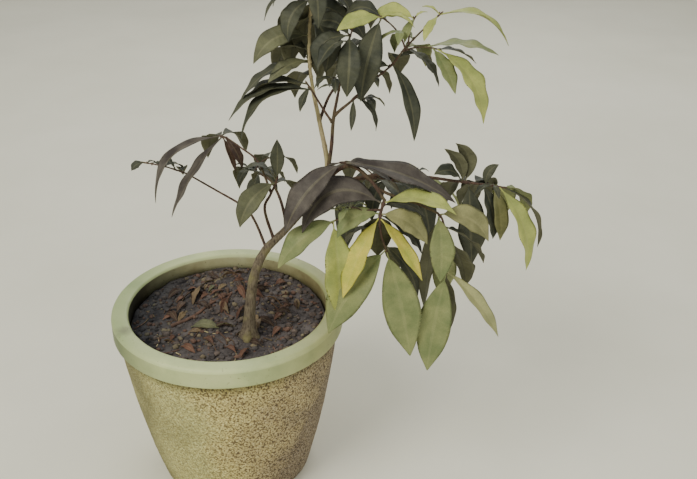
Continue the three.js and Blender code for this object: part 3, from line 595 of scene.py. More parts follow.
def linear(tone):
    """A tone as the shader's linear colour. A link, or a colour that is linear already, stays as it is."""
    if isinstance(tone, (int, float)):
        return (tone, tone, tone, 1.0)
    if isinstance(tone, bpy.types.NodeSocket) or len(tone) == 4:
        return tone
    shares = [value / 255 for value in tone]
    return (*(s / 12.92 if s <= 0.04045 else ((s + 0.055) / 1.055) ** 2.4 for s in shares), 1.0)


class Look:
    """A material in the making: its shader, and patterns that follow the place on the object."""

    def __init__(self, name, roughness, specular):
        self.material = bpy.data.materials.new(name)
        self.material.use_nodes = True
        self.tree = self.material.node_tree
        self.shader = self.tree.nodes["Principled BSDF"]
        self.shader.inputs["Roughness"].default_value = roughness
        self.shader.inputs["Specular IOR Level"].default_value = specular
        self.place = self.node("ShaderNodeTexCoord").outputs["Object"]

    def node(self, kind, links=None, **settings):
        """A node with its settings, and its inputs by name or number: a value, or a link."""
        node = self.tree.nodes.new(kind)
        for name, value in settings.items():
            setattr(node, name, value)
        for name, value in (links or {}).items():
            if isinstance(value, bpy.types.NodeSocket):
                self.tree.links.new(value, node.inputs[name])
            else:
                node.inputs[name].default_value = value
        return node

    def noise(self, scale, detail, roughness=0.55, place=None):
        """Noise from 0 to 1 with about so many waves to a metre."""
        links = {"Vector": place or self.place, "Scale": scale, "Detail": detail, "Roughness": roughness}
        return self.node("ShaderNodeTexNoise", links).outputs["Fac"]

    def calculate(self, operation, first, second):
        return self.node("ShaderNodeMath", {0: first, 1: second}, operation=operation).outputs[0]

    def ramp(self, value, *stops):
        """A colour ramp through stops, each a position and a tone."""
        node = self.node("ShaderNodeValToRGB", {"Fac": value})
        elements = node.color_ramp.elements
        while len(elements) < len(stops):
            elements.new(0.5)
        for element, (position, tone) in zip(elements, stops):
            element.position = position
            element.color = linear(tone)
        return node.outputs["Color"]

    def mix(self, factor, first, second, blend_type="MIX"):
        links = {0: factor, 6: linear(first), 7: linear(second)}
        return self.node("ShaderNodeMix", links, data_type="RGBA", blend_type=blend_type).outputs[2]

    def multiply(self, first, second, factor=1.0):
        return self.mix(factor, first, second, "MULTIPLY")

    def shade_across(self, colour, reach, *stops):
        """The colour, multiplied through stops from the pot's left side to its right, for painted shade."""
        across = self.node("ShaderNodeSeparateXYZ", {0: self.place}).outputs[0]
        share = self.node("ShaderNodeMapRange", {0: across, 1: -reach, 2: reach}).outputs[0]
        return self.multiply(colour, self.ramp(share, *stops))

    def finish(self, colour, height=None, strength=1.0, distance=1.0):
        """The material with its base colour, and with a bump where a height is given."""
        self.tree.links.new(colour, self.shader.inputs["Base Color"])
        if height:
            links = {"Height": height, "Strength": strength, "Distance": distance}
            bump = self.node("ShaderNodeBump", links)
            self.tree.links.new(bump.outputs["Normal"], self.shader.inputs["Normal"])
        return self.material


def leaf_material(name, light, dark, roughness):
    """A leathery blade: two close tones in soft patches, with a fine grain."""
    look = Look(name, roughness, 0.2)
    patches = look.ramp(look.noise(45, 4), (0.36, 0), (0.64, 1))
    colour = look.mix(patches, dark, light)
    grain = look.ramp(look.noise(900, 2), (0.3, 0.8), (0.7, 1))
    colour = look.multiply(colour, grain)
    return look.finish(colour, look.noise(1400, 3), 0.25, 0.0003)


def pot_material():
    """Washed aggregate: cream with pale and brown grit, stained from green to brown across the pot, with
    painted shade at its left edge and on its right side, and a painted shadow under the rim band.
    """
    look = Look("pot_aggregate", 0.88, 0.25)
    pits = look.noise(400, 2, 0.6)
    flakes = look.noise(470, 2, 0.6)
    colour = look.mix(look.ramp(flakes, (0.5, 0), (0.6, 1)), (206, 196, 150), (236, 232, 192))
    axes = look.node("ShaderNodeSeparateXYZ", {0: look.place})
    wander = look.calculate("MULTIPLY", look.noise(8, 5), 0.8)
    # This value across the pot sets the stains, and also the painted shade at the pot's left edge and right
    # side.
    stain = look.calculate("ADD", look.calculate("MULTIPLY", axes.outputs[0], 2.8), wander)
    depth = look.ramp(stain, (0.1, 0.35), (0.45, 0.9))
    speckle = look.calculate("MULTIPLY", look.ramp(pits, (0.47, 0), (0.58, 1)), depth)
    colour = look.mix(speckle, colour, (98, 84, 72))
    # Real stain tones in the middle; the dark olive left end and the purplish right end are painted shade.
    patches = look.ramp(stain, (0.08, (154, 156, 136)), (0.24, (232, 236, 206)), (0.44, (248, 240, 206)),
                        (0.58, (216, 204, 192)), (0.72, (156, 144, 156)))
    colour = look.multiply(colour, patches, 0.9)
    # Painted shadow under the rim band: the body darkens over its top 17 mm toward the band.
    shadow_under_band = look.ramp(axes.outputs[2], (0.204, 1), (0.221, (160, 162, 154)))
    colour = look.multiply(colour, shadow_under_band)
    return look.finish(colour, look.calculate("SUBTRACT", flakes, pits), 0.6, 0.0012)


def rim_material(name, low, middle, high, speck, left):
    """Pale painted band with soft greenish mottling, small chips and one stain, with painted shade toward its
    left that is partly stain, and a yellower right side.
    """
    look = Look(name, 0.5, 0.45)
    mottle = look.ramp(look.noise(14, 5), (0.3, low), (0.5, middle), (0.72, high))
    specks = look.ramp(look.noise(230, 2), (0.68, 0), (0.78, 1))
    away = look.node("ShaderNodeVectorMath", {0: look.place, 1: RIM_STAIN}, operation="DISTANCE")
    wander = look.calculate("MULTIPLY", look.noise(160, 3), 0.012)
    spread = look.calculate("ADD", away.outputs["Value"], wander)
    stain = look.ramp(spread, (0.009, 0.75), (0.02, 0))
    # Painted shade toward the pot's left, partly stain, and a yellower tone toward its right.
    colour = look.shade_across(look.mix(specks, mottle, speck), 0.15, (0.08, left), (0.3, 1), (0.62, 1),
                               (0.9, (212, 206, 190)))
    colour = look.mix(stain, colour, (120, 122, 98))
    return look.finish(colour, look.noise(120, 4), 0.25, 0.0008)


def earth_material(name, light, dark, scale):
    """Earth in two tones, with painted shade toward the pot's left side."""
    look = Look(name, 0.95, 0.2)
    colour = look.ramp(look.noise(scale, 6, 0.7), (0.32, dark), (0.68, light))
    # Painted shade: the earth darkens toward the pot's left side, where it lies in shadow.
    colour = look.shade_across(colour, 0.13, (0.1, (164, 174, 182)), (0.35, (242, 242, 240)),
                               (0.65, (242, 242, 242)), (0.85, 1))
    return look.finish(colour, look.noise(5 * scale, 4), 0.6, 0.001)


def bark_material(name, light, dark, lichen):
    """Young bark: long streaks with a little green on it."""
    look = Look(name, 0.85, 0.25)
    stretch = look.node("ShaderNodeMapping", {"Vector": look.place, "Scale": (1.0, 1.0, 0.25)})
    streaks = look.noise(420, 5, 0.65, stretch.outputs["Vector"])
    colour = look.ramp(streaks, (0.34, dark), (0.62, light))
    green = look.ramp(look.noise(38, 3), (0.5, 0), (0.68, 0.75))
    return look.finish(look.mix(green, colour, lichen), streaks, 0.6, 0.0008)


def make_leaf_materials():
    """For each tint, the materials of a leaf's parts."""
    sets = {tint: [] for tint in TINTS}
    for tint, tones in TINTS.items():
        for part, (lift, roughness) in LEAF_PARTS.items():
            light, dark = [[a + (b - a) * lift for a, b in zip(linear(tone), linear(STRAW))]
                           for tone in tones]
            sets[tint].append(leaf_material(f"leaf_{tint}{part}", light, dark, roughness))
    return sets


# Meshes

def add_object(name, data):
    """An object of its data, in the scene."""
    added = bpy.data.objects.new(name, data)
    bpy.context.scene.collection.objects.link(added)
    return added


def mesh_object(name, points, faces, materials, face_materials=None):
    """A smooth mesh from points in millimetres, that rides with the plant."""
    mesh = bpy.data.meshes.new(name)
    mesh.from_pydata((MM * np.array(points, float)).tolist(), [], faces)
    for material in materials:
        mesh.materials.append(material)
    if face_materials is not None:
        mesh.polygons.foreach_set("material_index", face_materials)
    mesh.polygons.foreach_set("use_smooth", [True] * len(mesh.polygons))
    mesh.update()
    piece = add_object(name, mesh)
    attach(piece, "root")
    return piece


class MeshParts:
    """Points and faces that many small forms add to, for one joined mesh."""

    def __init__(self):
        self.points = []
        self.faces = []
        self.face_materials = []

    def add(self, points, faces, materials=0):
        start = len(self.points)
        self.points += list(points)
        self.faces += [tuple(start + index for index in face) for face in faces]
        self.face_materials += [materials] * len(faces) if isinstance(materials, int) else materials

    def make(self, name, materials):
        return mesh_object(name, self.points, self.faces, materials, self.face_materials)


def on_circle(radius, part, parts):
    """The x and y of a point so many parts of the way around a circle."""
    angle = 2 * math.pi * part / parts
    return radius * math.cos(angle), radius * math.sin(angle)


def relief(place, waves):
    """A sum of waves of noise at a place, each with its height and its scale."""
    return sum(height * noise.noise(place * scale) for height, scale in waves)


def ring_faces(rings, sides):
    """Quads between rings of equal count, and a flat cap at each end."""
    faces = []
    for i in range(rings - 1):
        for j in range(sides):
            k = (j + 1) % sides
            faces.append((i * sides + j, i * sides + k, (i + 1) * sides + k, (i + 1) * sides + j))
    faces.append(tuple(reversed(range(sides))))
    faces.append(tuple(range((rings - 1) * sides, rings * sides)))
    return faces


def tube(curve, radius_at, sides, steps):
    """Rings along a curve, with a frame that is carried along so that it doesn't twist."""
    across = np.array([1.0, 0.0, 0.0])
    points = []
    for i in range(steps + 1):
        t = i / steps
        along = tangent_of(curve, t)
        across = across - along * across.dot(along)
        across /= np.linalg.norm(across)
        other = np.cross(along, across)
        centre = curve(t)
        for j in range(sides):
            angle = 2 * math.pi * j / sides
            out = math.cos(angle) * across + math.sin(angle) * other
            points.append(centre + radius_at(t, angle, centre) * out)
    return points, ring_faces(steps + 1, sides)


# Pot

POT_SIDES = 320
BODY_STEP = 3.0
BODY_INSIDE_HEIGHTS = (160, 90)
BODY_UNEVEN = 0.5
RIM_LIP = 2.0
RIM_ROW = 7
RIM_SEAM = 9
RIM_MOUTH_ROW = 12
RIM_UNEVEN = 0.25
CAST_WAVES = ((1, 0.03), (0.6, 0.12))
EVEN_RADIUS = 20


def body_radius(height):
    below = POT_HEIGHT - BAND_HEIGHT - height
    return BODY_TOP_RADIUS - BODY_TAPER * below - BODY_BULGE * below * below


def round_corner(radius, height, size, start, steps=5):
    """Points of a quarter round about a centre, from a start angle in degrees."""
    angles = [math.radians(start + 90 * i / steps) for i in range(steps + 1)]
    return [(radius + size * math.cos(angle), height + size * math.sin(angle)) for angle in angles]


def lathe_points(profile, unevenness):
    """Rings of points of a profile turned about the pot's axis, a little uneven as cast."""
    points = []
    for radius, height in profile:
        for j in range(POT_SIDES):
            out = Vector((*on_circle(1, j, POT_SIDES), 0))
            place = radius * out + Vector((0, 0, height))
            size = relief(place, CAST_WAVES) * min(1, radius / EVEN_RADIUS)
            points.append(place + unevenness * size * out)
    return points


def drill_points():
    """The drain holes as tubes of points, longer than the floor is thick."""
    parts = MeshParts()
    for i in range(DRAIN_HOLES):
        x, y = on_circle(DRAIN_CIRCLE, i, DRAIN_HOLES)
        parts.add(*tube(lambda t: np.array([x, y, 3 * FLOOR * (t - 0.5)]), lambda *_: DRAIN_RADIUS,
                        sides=32, steps=1))
    return parts


def cut_away(piece, drill):
    """The piece with the drill's solid cut out of it."""
    cut = piece.modifiers.new("cut", "BOOLEAN")
    cut.operation = "DIFFERENCE"
    cut.object = drill
    bpy.context.view_layer.update()
    seen = piece.evaluated_get(bpy.context.evaluated_depsgraph_get())
    piece.data = bpy.data.meshes.new_from_object(seen)
    piece.modifiers.clear()
    bpy.data.objects.remove(drill)


def make_pot_body():
    top = POT_HEIGHT - BAND_HEIGHT
    foot = body_radius(0)
    steps = round((top - FOOT_CHAMFER) / BODY_STEP)
    wall = [FOOT_CHAMFER + (top - FOOT_CHAMFER) * i / steps for i in range(steps + 1)]
    profile = [(foot / 4, 0), (foot - FOOT_CHAMFER, 0)]
    profile += [(body_radius(height), height) for height in wall]
    profile += [(body_radius(height) - WALL, height) for height in (top, *BODY_INSIDE_HEIGHTS, FLOOR)]
    profile += [(foot / 4, FLOOR)]
    faces = ring_faces(len(profile), POT_SIDES)
    body = mesh_object("pot_body_cast", lathe_points(profile, BODY_UNEVEN), faces, [pot_material()])
    cut_away(body, drill_points().make("drain_holes", []))
    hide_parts("pot_body")


def make_pot_rim():
    low = POT_HEIGHT - BAND_HEIGHT + GAP
    outer = RIM_OUTER_RADIUS
    corner = POT_HEIGHT - EDGE_ROUND
    profile = [(MOUTH_RADIUS, low), (outer - 3 * RIM_LIP, low)]
    profile += round_corner(outer - RIM_LIP, low + RIM_LIP, RIM_LIP, -90, 3)
    profile += [(outer, low + RIM_ROW), (outer, low + 2 * RIM_ROW)]
    outside = len(profile)
    profile += round_corner(outer - EDGE_ROUND, corner, EDGE_ROUND, 0)
    profile += [(outer - RIM_SEAM, POT_HEIGHT), (MOUTH_RADIUS + RIM_SEAM, POT_HEIGHT)]
    profile += round_corner(MOUTH_RADIUS + EDGE_ROUND, corner, EDGE_ROUND, 90)
    inside = len(profile) - 2
    profile += [(MOUTH_RADIUS, POT_HEIGHT - RIM_MOUTH_ROW)]
    faces = ring_faces(len(profile), POT_SIDES)[:-2]
    last = (len(profile) - 1) * POT_SIDES
    faces += [(last + j, last + (j + 1) % POT_SIDES, (j + 1) % POT_SIDES, j) for j in range(POT_SIDES)]
    rows = [index // POT_SIDES for index in range(len(faces))]
    kinds = [1 if row < outside else 2 if row >= inside else 0 for row in rows]
    materials = [rim_material(name, *tones) for name, tones in RIM_TONES.items()]
    rim = mesh_object("pot_rim_band", lathe_points(profile, RIM_UNEVEN), faces, materials, kinds)
    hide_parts("pot_rim")


# Soil and what lies on it

SOIL_RINGS = 70
SOIL_SIDES = 220
SOIL_WAVES = ((2.2, 0.05), (1.3, 0.16), (0.7, 0.5))
BED_DEPTH = 8
BED_FOOT_IN = 12
SPOT_MARGIN = 3
CRUMBS = 1900
CRUMB_REACH = 0.98
CRUMB_LIFT = 0.25


def ground_height(x, y):
    """The soil's height with its lumps."""
    away = (x - MOUND_CENTRE[0]) ** 2 + (y - MOUND_CENTRE[1]) ** 2
    mound = MOUND_HEIGHT * math.exp(-away / (2 * MOUND_SPREAD ** 2))
    return SOIL_EDGE_HEIGHT + mound + relief(Vector((x, y, 0)), SOIL_WAVES)


def make_soil_bed(material):
    edge = BODY_TOP_RADIUS - WALL - 2 * GAP - SOIL_CLEARANCE
    rings = [(edge - BED_FOOT_IN, POT_HEIGHT / 2), (edge, SOIL_EDGE_HEIGHT - BED_DEPTH)]
    rings += [(edge * (1 - i / SOIL_RINGS), None) for i in range(SOIL_RINGS)]
    points = []
    for radius, height in rings:
        for j in range(SOIL_SIDES):
            x, y = on_circle(radius, j, SOIL_SIDES)
            points.append((x, y, height or ground_height(x, y)))
    bed = mesh_object("soil_bed", points, ring_faces(len(rings), SOIL_SIDES), [material])
    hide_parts("soil")


def soil_spot(numbers, reach):
    """A spot on the soil, evenly dealt out over a disc."""
    radius = reach * (MOUTH_RADIUS - SPOT_MARGIN) * math.sqrt(next(numbers))
    return on_circle(radius, next(numbers), 1)


def unit_ball():
    """The points and faces of a small ball."""
    form = bmesh.new()
    bmesh.ops.create_icosphere(form, subdivisions=2, radius=1)
    points = np.array([vertex.co[:] for vertex in form.verts])
    faces = [tuple(vertex.index for vertex in face.verts) for face in form.faces]
    form.free()
    return points, faces


def make_crumbs(materials):
    numbers = random_numbers(CRUMB_SEED)
    ball, faces = unit_ball()
    parts = MeshParts()
    for _ in range(CRUMBS):
        x, y = soil_spot(numbers, CRUMB_REACH)
        size = pick(numbers, 0.8, 4.2, 3)
        stretch = np.array([pick(numbers, 1, 1.5), 1, pick(numbers, 0.6, 0.9)])
        cosine, sine = on_circle(1, next(numbers), 1)
        ragged = np.array([pick(numbers, 0.75, 1.15) for _ in ball])
        ahead, across, up = (ball * ragged[:, None] * stretch * size).T
        turned = np.column_stack([ahead * cosine - across * sine, ahead * sine + across * cosine, up])
        place = np.array([x, y, ground_height(x, y) + CRUMB_LIFT * size])
        parts.add(turned + place, faces, int(pick(numbers, 0, len(materials), 1.6)))
    crumbs = parts.make("soil_crumbs", materials)


# Leaves

def leaf_form(leaf, numbers):
    """A leaf's points: a round stalk, a folded blade with sunken veins, a wavy margin and a raised rib."""
    twist = pick(numbers, -LEAF_TWIST, LEAF_TWIST)
    bend = leaf.length * pick(numbers, -LEAF_BEND, LEAF_BEND)
    fold = LEAF_FOLD * pick(numbers, 0.7, 1.4)
    waves = pick(numbers, 2, 3.5)
    phase = 2 * math.pi * next(numbers)
    veins = round(leaf.length / VEIN_SPACING)
    points = []
    for i in range(LEAF_STATIONS):
        t = i / LEAF_STATIONS
        u = max(0, (t - LEAF_STALK) / (1 - LEAF_STALK))
        centre, across, face = leaf.frame_at(t, twist * t)
        centre = centre + bend * math.sin(math.pi * u) * across
        half = max(leaf.half_width(t), STALK_HALF * (1 - u))
        blade = min(1, BLADE_OPENING * u)
        rib = STALK_HALF * (1 - RIB_TAPER * t)
        upper = []
        lower = []
        for c in LEAF_COLUMNS:
            side = abs(c)
            vein = math.cos(2 * math.pi * (veins * u - VEIN_SLANT * side)) * 4 * side * (1 - side)
            margin = side * side * math.sin(2 * math.pi * waves * u + phase + c)
            middle = blade * half * (fold * side + WAVE_DEPTH * margin)
            middle -= VEIN_DEPTH * vein * math.sin(math.pi * u)
            stalk = (1 - blade) * STALK_HALF * math.sqrt(1 - c * c)
            skin = LEAF_SKIN * (1 - side ** 4)
            ridge = rib * math.exp(-(c * half / rib) ** 2) * (1 - side)
            place = centre + c * half * across
            upper.append(place + (middle + stalk + blade * (skin + RIB_ABOVE * ridge)) * face)
            lower.append(place + (middle - stalk - blade * (skin + RIB_BELOW * ridge)) * face)
        points += upper + lower[-2:0:-1]
    points.append(leaf.rib(1))
    return points


def leaf_faces():
    """Faces shared by every leaf, and for each face: 0 for the blade, 1 for its underside, 2 for the rib."""
    top = len(LEAF_COLUMNS)
    around = 2 * top - 2
    tip = around * LEAF_STATIONS
    ribs = {top // 2 - 1, top // 2, top - 1 + top // 2 - 1, top - 1 + top // 2}
    faces = []
    kinds = []
    for i in range(LEAF_STATIONS):
        on_stalk = (i + 1) / LEAF_STATIONS <= LEAF_STALK
        for j in range(around):
            k = (j + 1) % around
            if i + 1 < LEAF_STATIONS:
                faces.append((i * around + j, (i + 1) * around + j, (i + 1) * around + k, i * around + k))
            else:
                faces.append((i * around + j, tip, i * around + k))
            kinds.append(2 if on_stalk or j in ribs else int(j >= top - 1))
    faces.append(tuple(range(around)))
    kinds.append(2)
    return faces, kinds


def make_leaves(name, leaves, numbers, leaf_materials):
    """Many leaves as one piece, with the materials of the tints that they use."""
    tints = sorted({leaf.tint for leaf in leaves})
    faces, kinds = leaf_faces()
    parts = MeshParts()
    for leaf in leaves:
        first = 3 * tints.index(leaf.tint)
        parts.add(leaf_form(leaf, numbers), faces, [first + kind for kind in kinds])
    return parts.make(name, [material for tint in tints for material in leaf_materials[tint]])


# Dry leaves and bits of twig on the soil

LITTER_LEAVES = 60
LITTER_REACH = 0.75
LITTER_TINTS = ("litter_red", "brown", "litter_red", "brown", "litter_tan")
LITTER_ARCH = 0.2
LITTER_LIFT = 2
LITTER_TIP_LIFT = 1
STICK_LIFT = 0.6
STICK_TAPER = 0.5
BITS = 60
BIT_REACH = 0.85
BIT_BEND = 0.12
BIT_LIFT = 0.8


def lying_leaf(x, y, bearing, length, arch, tint, roll):
    """A dry leaf on the soil, from its foot along a bearing."""
    foot = np.array([x, y, ground_height(x, y) + LITTER_LIFT])
    ahead_x, ahead_y = on_circle(length, bearing, 360)
    drop = foot[2] - ground_height(x + ahead_x, y + ahead_y) - LITTER_TIP_LIFT
    return Leaf(lambda t: foot, [0, bearing, length, drop, arch, tint, roll])


def lying_stick(spots, lift):
    return curve_through([(x, y, ground_height(x, y) + lift) for x, y in spots])


def make_dry_leaves(numbers, leaf_materials):
    leaves = [lying_leaf(*row) for row in LITTER]
    for _ in range(LITTER_LEAVES):
        x, y = soil_spot(numbers, LITTER_REACH)
        tint = LITTER_TINTS[int(pick(numbers, 0, len(LITTER_TINTS), 1.2))]
        length = pick(numbers, 9, 26)
        bearing = 360 * next(numbers)
        roll = pick(numbers, -60, 60)
        leaves.append(lying_leaf(x, y, bearing, length, LITTER_ARCH * length, tint, roll))
    litter = make_leaves("soil_litter", leaves, numbers, leaf_materials)


def make_sticks(numbers, materials):
    """The sticks of the list, and many small bits of twig."""
    parts = MeshParts()
    for spots, radius, kind in STICKS:
        curve = lying_stick(spots, STICK_LIFT * radius)
        parts.add(*tube(curve, lambda t, *_: radius * (1 - STICK_TAPER * t), sides=8, steps=20), kind)
    for _ in range(BITS):
        x, y = soil_spot(numbers, BIT_REACH)
        bearing = 360 * next(numbers)
        length = pick(numbers, 8, 38, 2)
        half_x, half_y = on_circle(length / 2, bearing, 360)
        spots = [(x, y), (x + half_x + BIT_BEND * length, y + half_y), (x + 2 * half_x, y + 2 * half_y)]
        radius = pick(numbers, 0.4, 1.2)
        kind = int(pick(numbers, 0, 2.3, 2))
        parts.add(*tube(lying_stick(spots, BIT_LIFT), lambda *_: radius, sides=6, steps=6), kind)
    sticks = parts.make("soil_sticks", materials)


# Bark: the trunk and the boughs in fine relief

LIMB_SIDES = 28
LIMB_STEP = 1.6
BARK_WAVES = ((0.07, 1), (0.035, 3))
BARK_AROUND = 2.2
BARK_ALONG = 0.09
TRUNK_SUNK = 2
TRUNK_START = 3.1
BOUGH_START = 7.7
SCAR_SPACING = 27
SCAR_WIDTH = 1.3
TRUNK_SCAR = 0.06
BOUGH_SCAR = 0.12
COLLAR = 0.5
COLLAR_FADE = 1.5


def limb_form(name, start):
    """A limb's points and faces. The start moves it to a stretch of noise of its own."""
    foot_radius, tip_radius, knots = LIMBS[name]
    curve = curve_through(knots)
    length = length_of(curve)
    is_trunk = name == "trunk"

    def radius_at(t, angle, centre):
        along = t * length
        radius = foot_radius + (tip_radius - foot_radius) * t
        place = Vector((BARK_AROUND * math.cos(angle), BARK_AROUND * math.sin(angle),
                        BARK_ALONG * along + start))
        scar = math.exp(-((along % SCAR_SPACING - SCAR_SPACING / 2) / SCAR_WIDTH) ** 2)
        swelling = 1 + relief(place, BARK_WAVES)
        if is_trunk:
            lobes = 1 + FLARE_LOBE * math.cos(FLARE_ROOTS * angle + FLARE_TURN)
            flare = FLARE * lobes * math.exp(-max(0, centre[2] - GROUND) / FLARE_FADE)
            return radius * (swelling + TRUNK_SCAR * scar) + flare
        collar = COLLAR * math.exp(-along / (COLLAR_FADE * radius))
        return radius * (swelling + BOUGH_SCAR * scar + collar)

    points, faces = tube(curve, radius_at, LIMB_SIDES, round(length / LIMB_STEP))
    if is_trunk:
        for point in points:
            point[2] = max(point[2], GROUND - TRUNK_SUNK)
    return points, faces


def make_bark(trunk_bark, twig_barks):
    trunk = mesh_object("trunk_bark", *limb_form("trunk", TRUNK_START), [trunk_bark])
    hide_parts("trunk")
    parts = MeshParts()
    names = [name for name in LIMBS if name != "trunk"]
    for index, name in enumerate(names):
        parts.add(*limb_form(name, BOUGH_START * index), int(name in STRAW_BOUGHS))
    boughs = parts.make("boughs_bark", twig_barks)
    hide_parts(*names)


# Twigs, with swollen nodes and buds, and finer sprigs with young leaves

TWIG_SIDES = 10
TWIG_STEP = 2.0
TWIG_LEAST_STEPS = 6
TWIG_SUNK = 1.5
TWIG_WAVES = ((0.08, 0.5),)
NODE_LENGTH = 1.6
NODE_SWELLING = 0.4

# Buds: the length and the radius of each kind, where a tip bud's radius is a share of its twig's
TIP_BUD = (5.0, 1.1)
SIDE_BUD = (2.6, 0.7)
SIDE_BUD_OUT = 1.3
SIDE_BUD_LEAN = 0.5
BUD_POINT = 0.15
BUD_ARC = (0.25, 0.72)

# Sprigs: their young leaves leave them near the tip, and arch by a share of their own length
SPRIG_SPACING = 8
SPRIG_ARCH = 2
SPRIG_RADII = (0.75, 0.5)
SPRIG_STEPS = 4
SPRIG_CLEARANCE = 5
SPRIG_NEAR = 26
SPRIG_NEAR_PLACE = 0.6
YOUNG_PLACE = 0.98
YOUNG_ARCH = 0.2
BARE_TINTS = ("lime", "gold")


def twig_form(twig, places):
    """A twig whose foot is sunk in what carries it, swollen where leaves leave it."""
    length = length_of(twig.curve)
    sunk = TWIG_SUNK / length

    def curve(s):
        return twig.curve(s * (1 + sunk) - sunk)

    def radius_at(s, angle, centre):
        t = s * (1 + sunk) - sunk
        radius = twig.foot_radius + (twig.tip_radius - twig.foot_radius) * t
        swelling = sum(math.exp(-((t - along) * length / NODE_LENGTH) ** 2) for along in places)
        return radius * (1 + NODE_SWELLING * min(1, swelling) + relief(Vector(centre), TWIG_WAVES))

    return tube(curve, radius_at, TWIG_SIDES, max(TWIG_LEAST_STEPS, round(length / TWIG_STEP)))


def bud_form(base, ahead, length, radius):
    """A pointed bud."""
    start, run = BUD_ARC
    return tube(lambda t: base + t * length * ahead,
                lambda t, *_: radius * (BUD_POINT + math.sin(math.pi * (start + run * t))), sides=6, steps=5)


def young_leaves(curve, bearing, tint, numbers):
    """Two young leaves at the tip of a sprig, one to each side."""
    leaves = []
    for side in (-1, 1):
        size = pick(numbers, 18, 32)
        aim = bearing + side * pick(numbers, 25, 55)
        drop = size * pick(numbers, 0.2, 0.7)
        leaves.append(Leaf(curve, [YOUNG_PLACE, aim, size, drop, YOUNG_ARCH * size, tint]))
    return leaves


def add_sprigs(name, spray, numbers, limb_points, limb_radii, all_points):
    """Fine side twigs with young leaves, each kept where it is clear and close to its mass's leaves."""
    low, high = (np.array(corner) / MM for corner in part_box(name))
    grown = list(spray.leaves)
    middles = np.array([leaf.rib(SPRIG_NEAR_PLACE) for leaf in grown])
    for twig in list(spray.twigs):
        count = int(length_of(twig.curve) // SPRIG_SPACING)
        for i in range(count):
            along = (i + pick(numbers, 0.3, 0.7)) / count
            bearing = 360 * next(numbers)
            reach = pick(numbers, 8, 17)
            rise = pick(numbers, 2, 8)
            curve = arch_from(twig.curve(along), bearing, reach, -rise, SPRIG_ARCH)
            away = np.linalg.norm(middles - curve(1), axis=1)
            tint = grown[away.argmin()].tint
            young = young_leaves(curve, bearing, tint, numbers)
            points = np.array([point for leaf in young for point in leaf.test_points()])
            inside = (points > low).all() and (points < high).all()
            inside = inside and away.min() < SPRIG_NEAR and tint not in BARE_TINTS
            off = np.linalg.norm(all_points[:, None] - points, axis=2).min() > SPRIG_CLEARANCE
            limbs = np.linalg.norm(limb_points[:, None] - points, axis=2).min(axis=1)
            if inside and off and (limbs > limb_radii + LIMB_CLEARANCE).all():
                spray.twigs.append(Twig(curve, *SPRIG_RADII, SPRIG_STEPS))
                spray.leaves += young
                all_points = np.vstack([all_points, points])
    return all_points


def make_twigs(name, spray, materials, kind):
    """A mass's stem and twigs, with a bud at each tip and one beside each leaf's foot."""
    parts = MeshParts()
    for twig in spray.twigs:
        borne = [leaf for leaf in spray.leaves if leaf.parent is twig.curve]
        parts.add(*twig_form(twig, sorted({leaf.along for leaf in borne})), kind)
        ahead = tangent_of(twig.curve, 1)
        length, radius = TIP_BUD
        parts.add(*bud_form(twig.curve(1) - ahead, ahead, length, radius * twig.tip_radius), kind)
        for leaf in borne:
            off = tangent_of(leaf.rib, 0)
            aim = SIDE_BUD_LEAN * off + tangent_of(twig.curve, leaf.along)
            foot = twig.curve(leaf.along) + SIDE_BUD_OUT * off
            parts.add(*bud_form(foot, aim / np.linalg.norm(aim), *SIDE_BUD), kind)
    return parts.make(name, materials)


def make_crown(leaf_materials, twig_materials):
    limb_points, limb_radii = limb_test_points()
    sprays = grow_crown(limb_points, limb_radii)
    all_points = np.array([point for spray in sprays.values() for point in spray.test_points()])
    for index, (name, spray) in enumerate(sprays.items()):
        numbers = random_numbers(SPRIG_SEED + SPRIG_SEED_STEP * index)
        all_points = add_sprigs(name, spray, numbers, limb_points, limb_radii, all_points)
        place = name.removeprefix("foliage_")
        numbers = random_numbers(BLADE_SEED + SEED_STEP * index)
        leaves = make_leaves(f"leaves_{place}", spray.leaves, numbers, leaf_materials)
        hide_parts(name)
        kind = int(spray.bough in STRAW_BOUGHS)
        twigs = make_twigs(f"twigs_{place}", spray, twig_materials, kind)
        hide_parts(name)


# Camera, light and floor

LIGHT_TARGET = (0.05, 0.0, 0.35)
SKY_COLOUR = (0.87, 0.87, 0.79, 1.0)
SKY_STRENGTH = 0.55
FLOOR_HALF = 4.0

# Soft round lights: the place, the size, the power and the colour
LIGHTS = {
    "key": ((-1.3, -1.5, 2.4), 1.6, 60, (1.0, 0.97, 0.84)),
    "fill": ((2.0, -1.2, 1.3), 2.0, 16, (1.0, 0.98, 0.9)),
    "back": ((0.4, 2.0, 1.9), 1.8, 22, (1.0, 1.0, 0.97)),
}


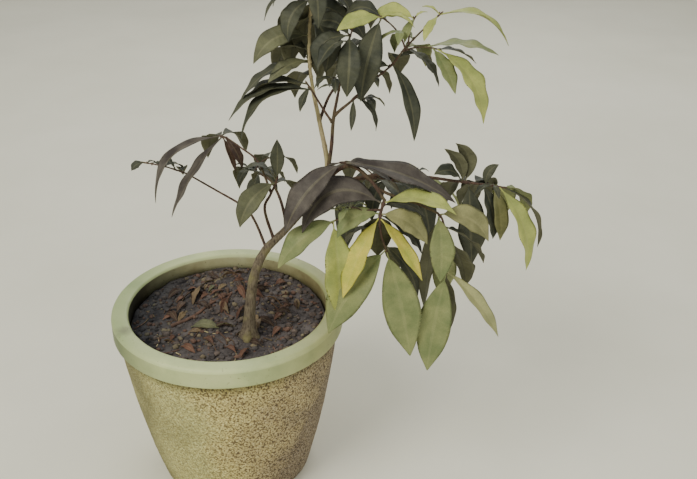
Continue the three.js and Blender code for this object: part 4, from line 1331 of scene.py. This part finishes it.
def make_camera():
    data = bpy.data.cameras.new("camera")
    data.sensor_fit = "HORIZONTAL"
    data.sensor_width = SENSOR
    data.lens = FOCAL_PIXELS / PHOTO_WIDTH * SENSOR
    camera = add_object("camera", data)
    pitch = Matrix.Rotation(math.radians(90 - CAMERA_PITCH), 4, "X")
    roll = Matrix.Rotation(math.radians(CAMERA_ROLL), 4, "Z")
    camera.matrix_world = Matrix.Translation(CAMERA_PLACE) @ pitch @ roll
    bpy.context.scene.camera = camera


def add_light(name, place, size, power, colour):
    data = bpy.data.lights.new(name, "AREA")
    data.shape = "DISK"
    data.size = size
    data.energy = power
    data.color = colour
    light = add_object(name, data)
    light.location = place
    light.rotation_euler = (Vector(LIGHT_TARGET) - Vector(place)).to_track_quat("-Z", "Y").to_euler()


def make_lights():
    for name, values in LIGHTS.items():
        add_light(name, *values)
    world = bpy.data.worlds.new("studio")
    world.use_nodes = True
    background = world.node_tree.nodes["Background"]
    background.inputs["Color"].default_value = SKY_COLOUR
    background.inputs["Strength"].default_value = SKY_STRENGTH
    bpy.context.scene.world = world


def make_floor():
    mesh = bpy.data.meshes.new("floor")
    half = FLOOR_HALF
    corners = [(-half, -half, 0), (half, -half, 0), (half, half, 0), (-half, half, 0)]
    mesh.from_pydata(corners, [], [(0, 1, 2, 3)])
    look = Look("floor_pale", 0.8, 0.2)
    mesh.materials.append(look.finish(look.ramp(look.noise(3, 4), (0.3, (231, 229, 214)),
                                                (0.7, (239, 237, 223)))))
    floor = add_object("floor", mesh)


def main():
    make_camera()
    make_lights()
    make_floor()
    make_pot_body()
    make_pot_rim()
    earths = {name: earth_material(name, *tones) for name, tones in EARTHS.items()}
    make_soil_bed(earths["soil_dark"])
    make_crumbs(list(earths.values()))
    trunk_bark, bough_bark, straw_bark = [bark_material(name, *tones) for name, tones in BARKS.items()]
    leaf_materials = make_leaf_materials()
    numbers = random_numbers(LITTER_SEED)
    make_dry_leaves(numbers, leaf_materials)
    make_sticks(numbers, [bough_bark, earths["soil_red"], straw_bark])
    make_bark(trunk_bark, [bough_bark, straw_bark])
    make_crown(leaf_materials, [bough_bark, straw_bark])


main()
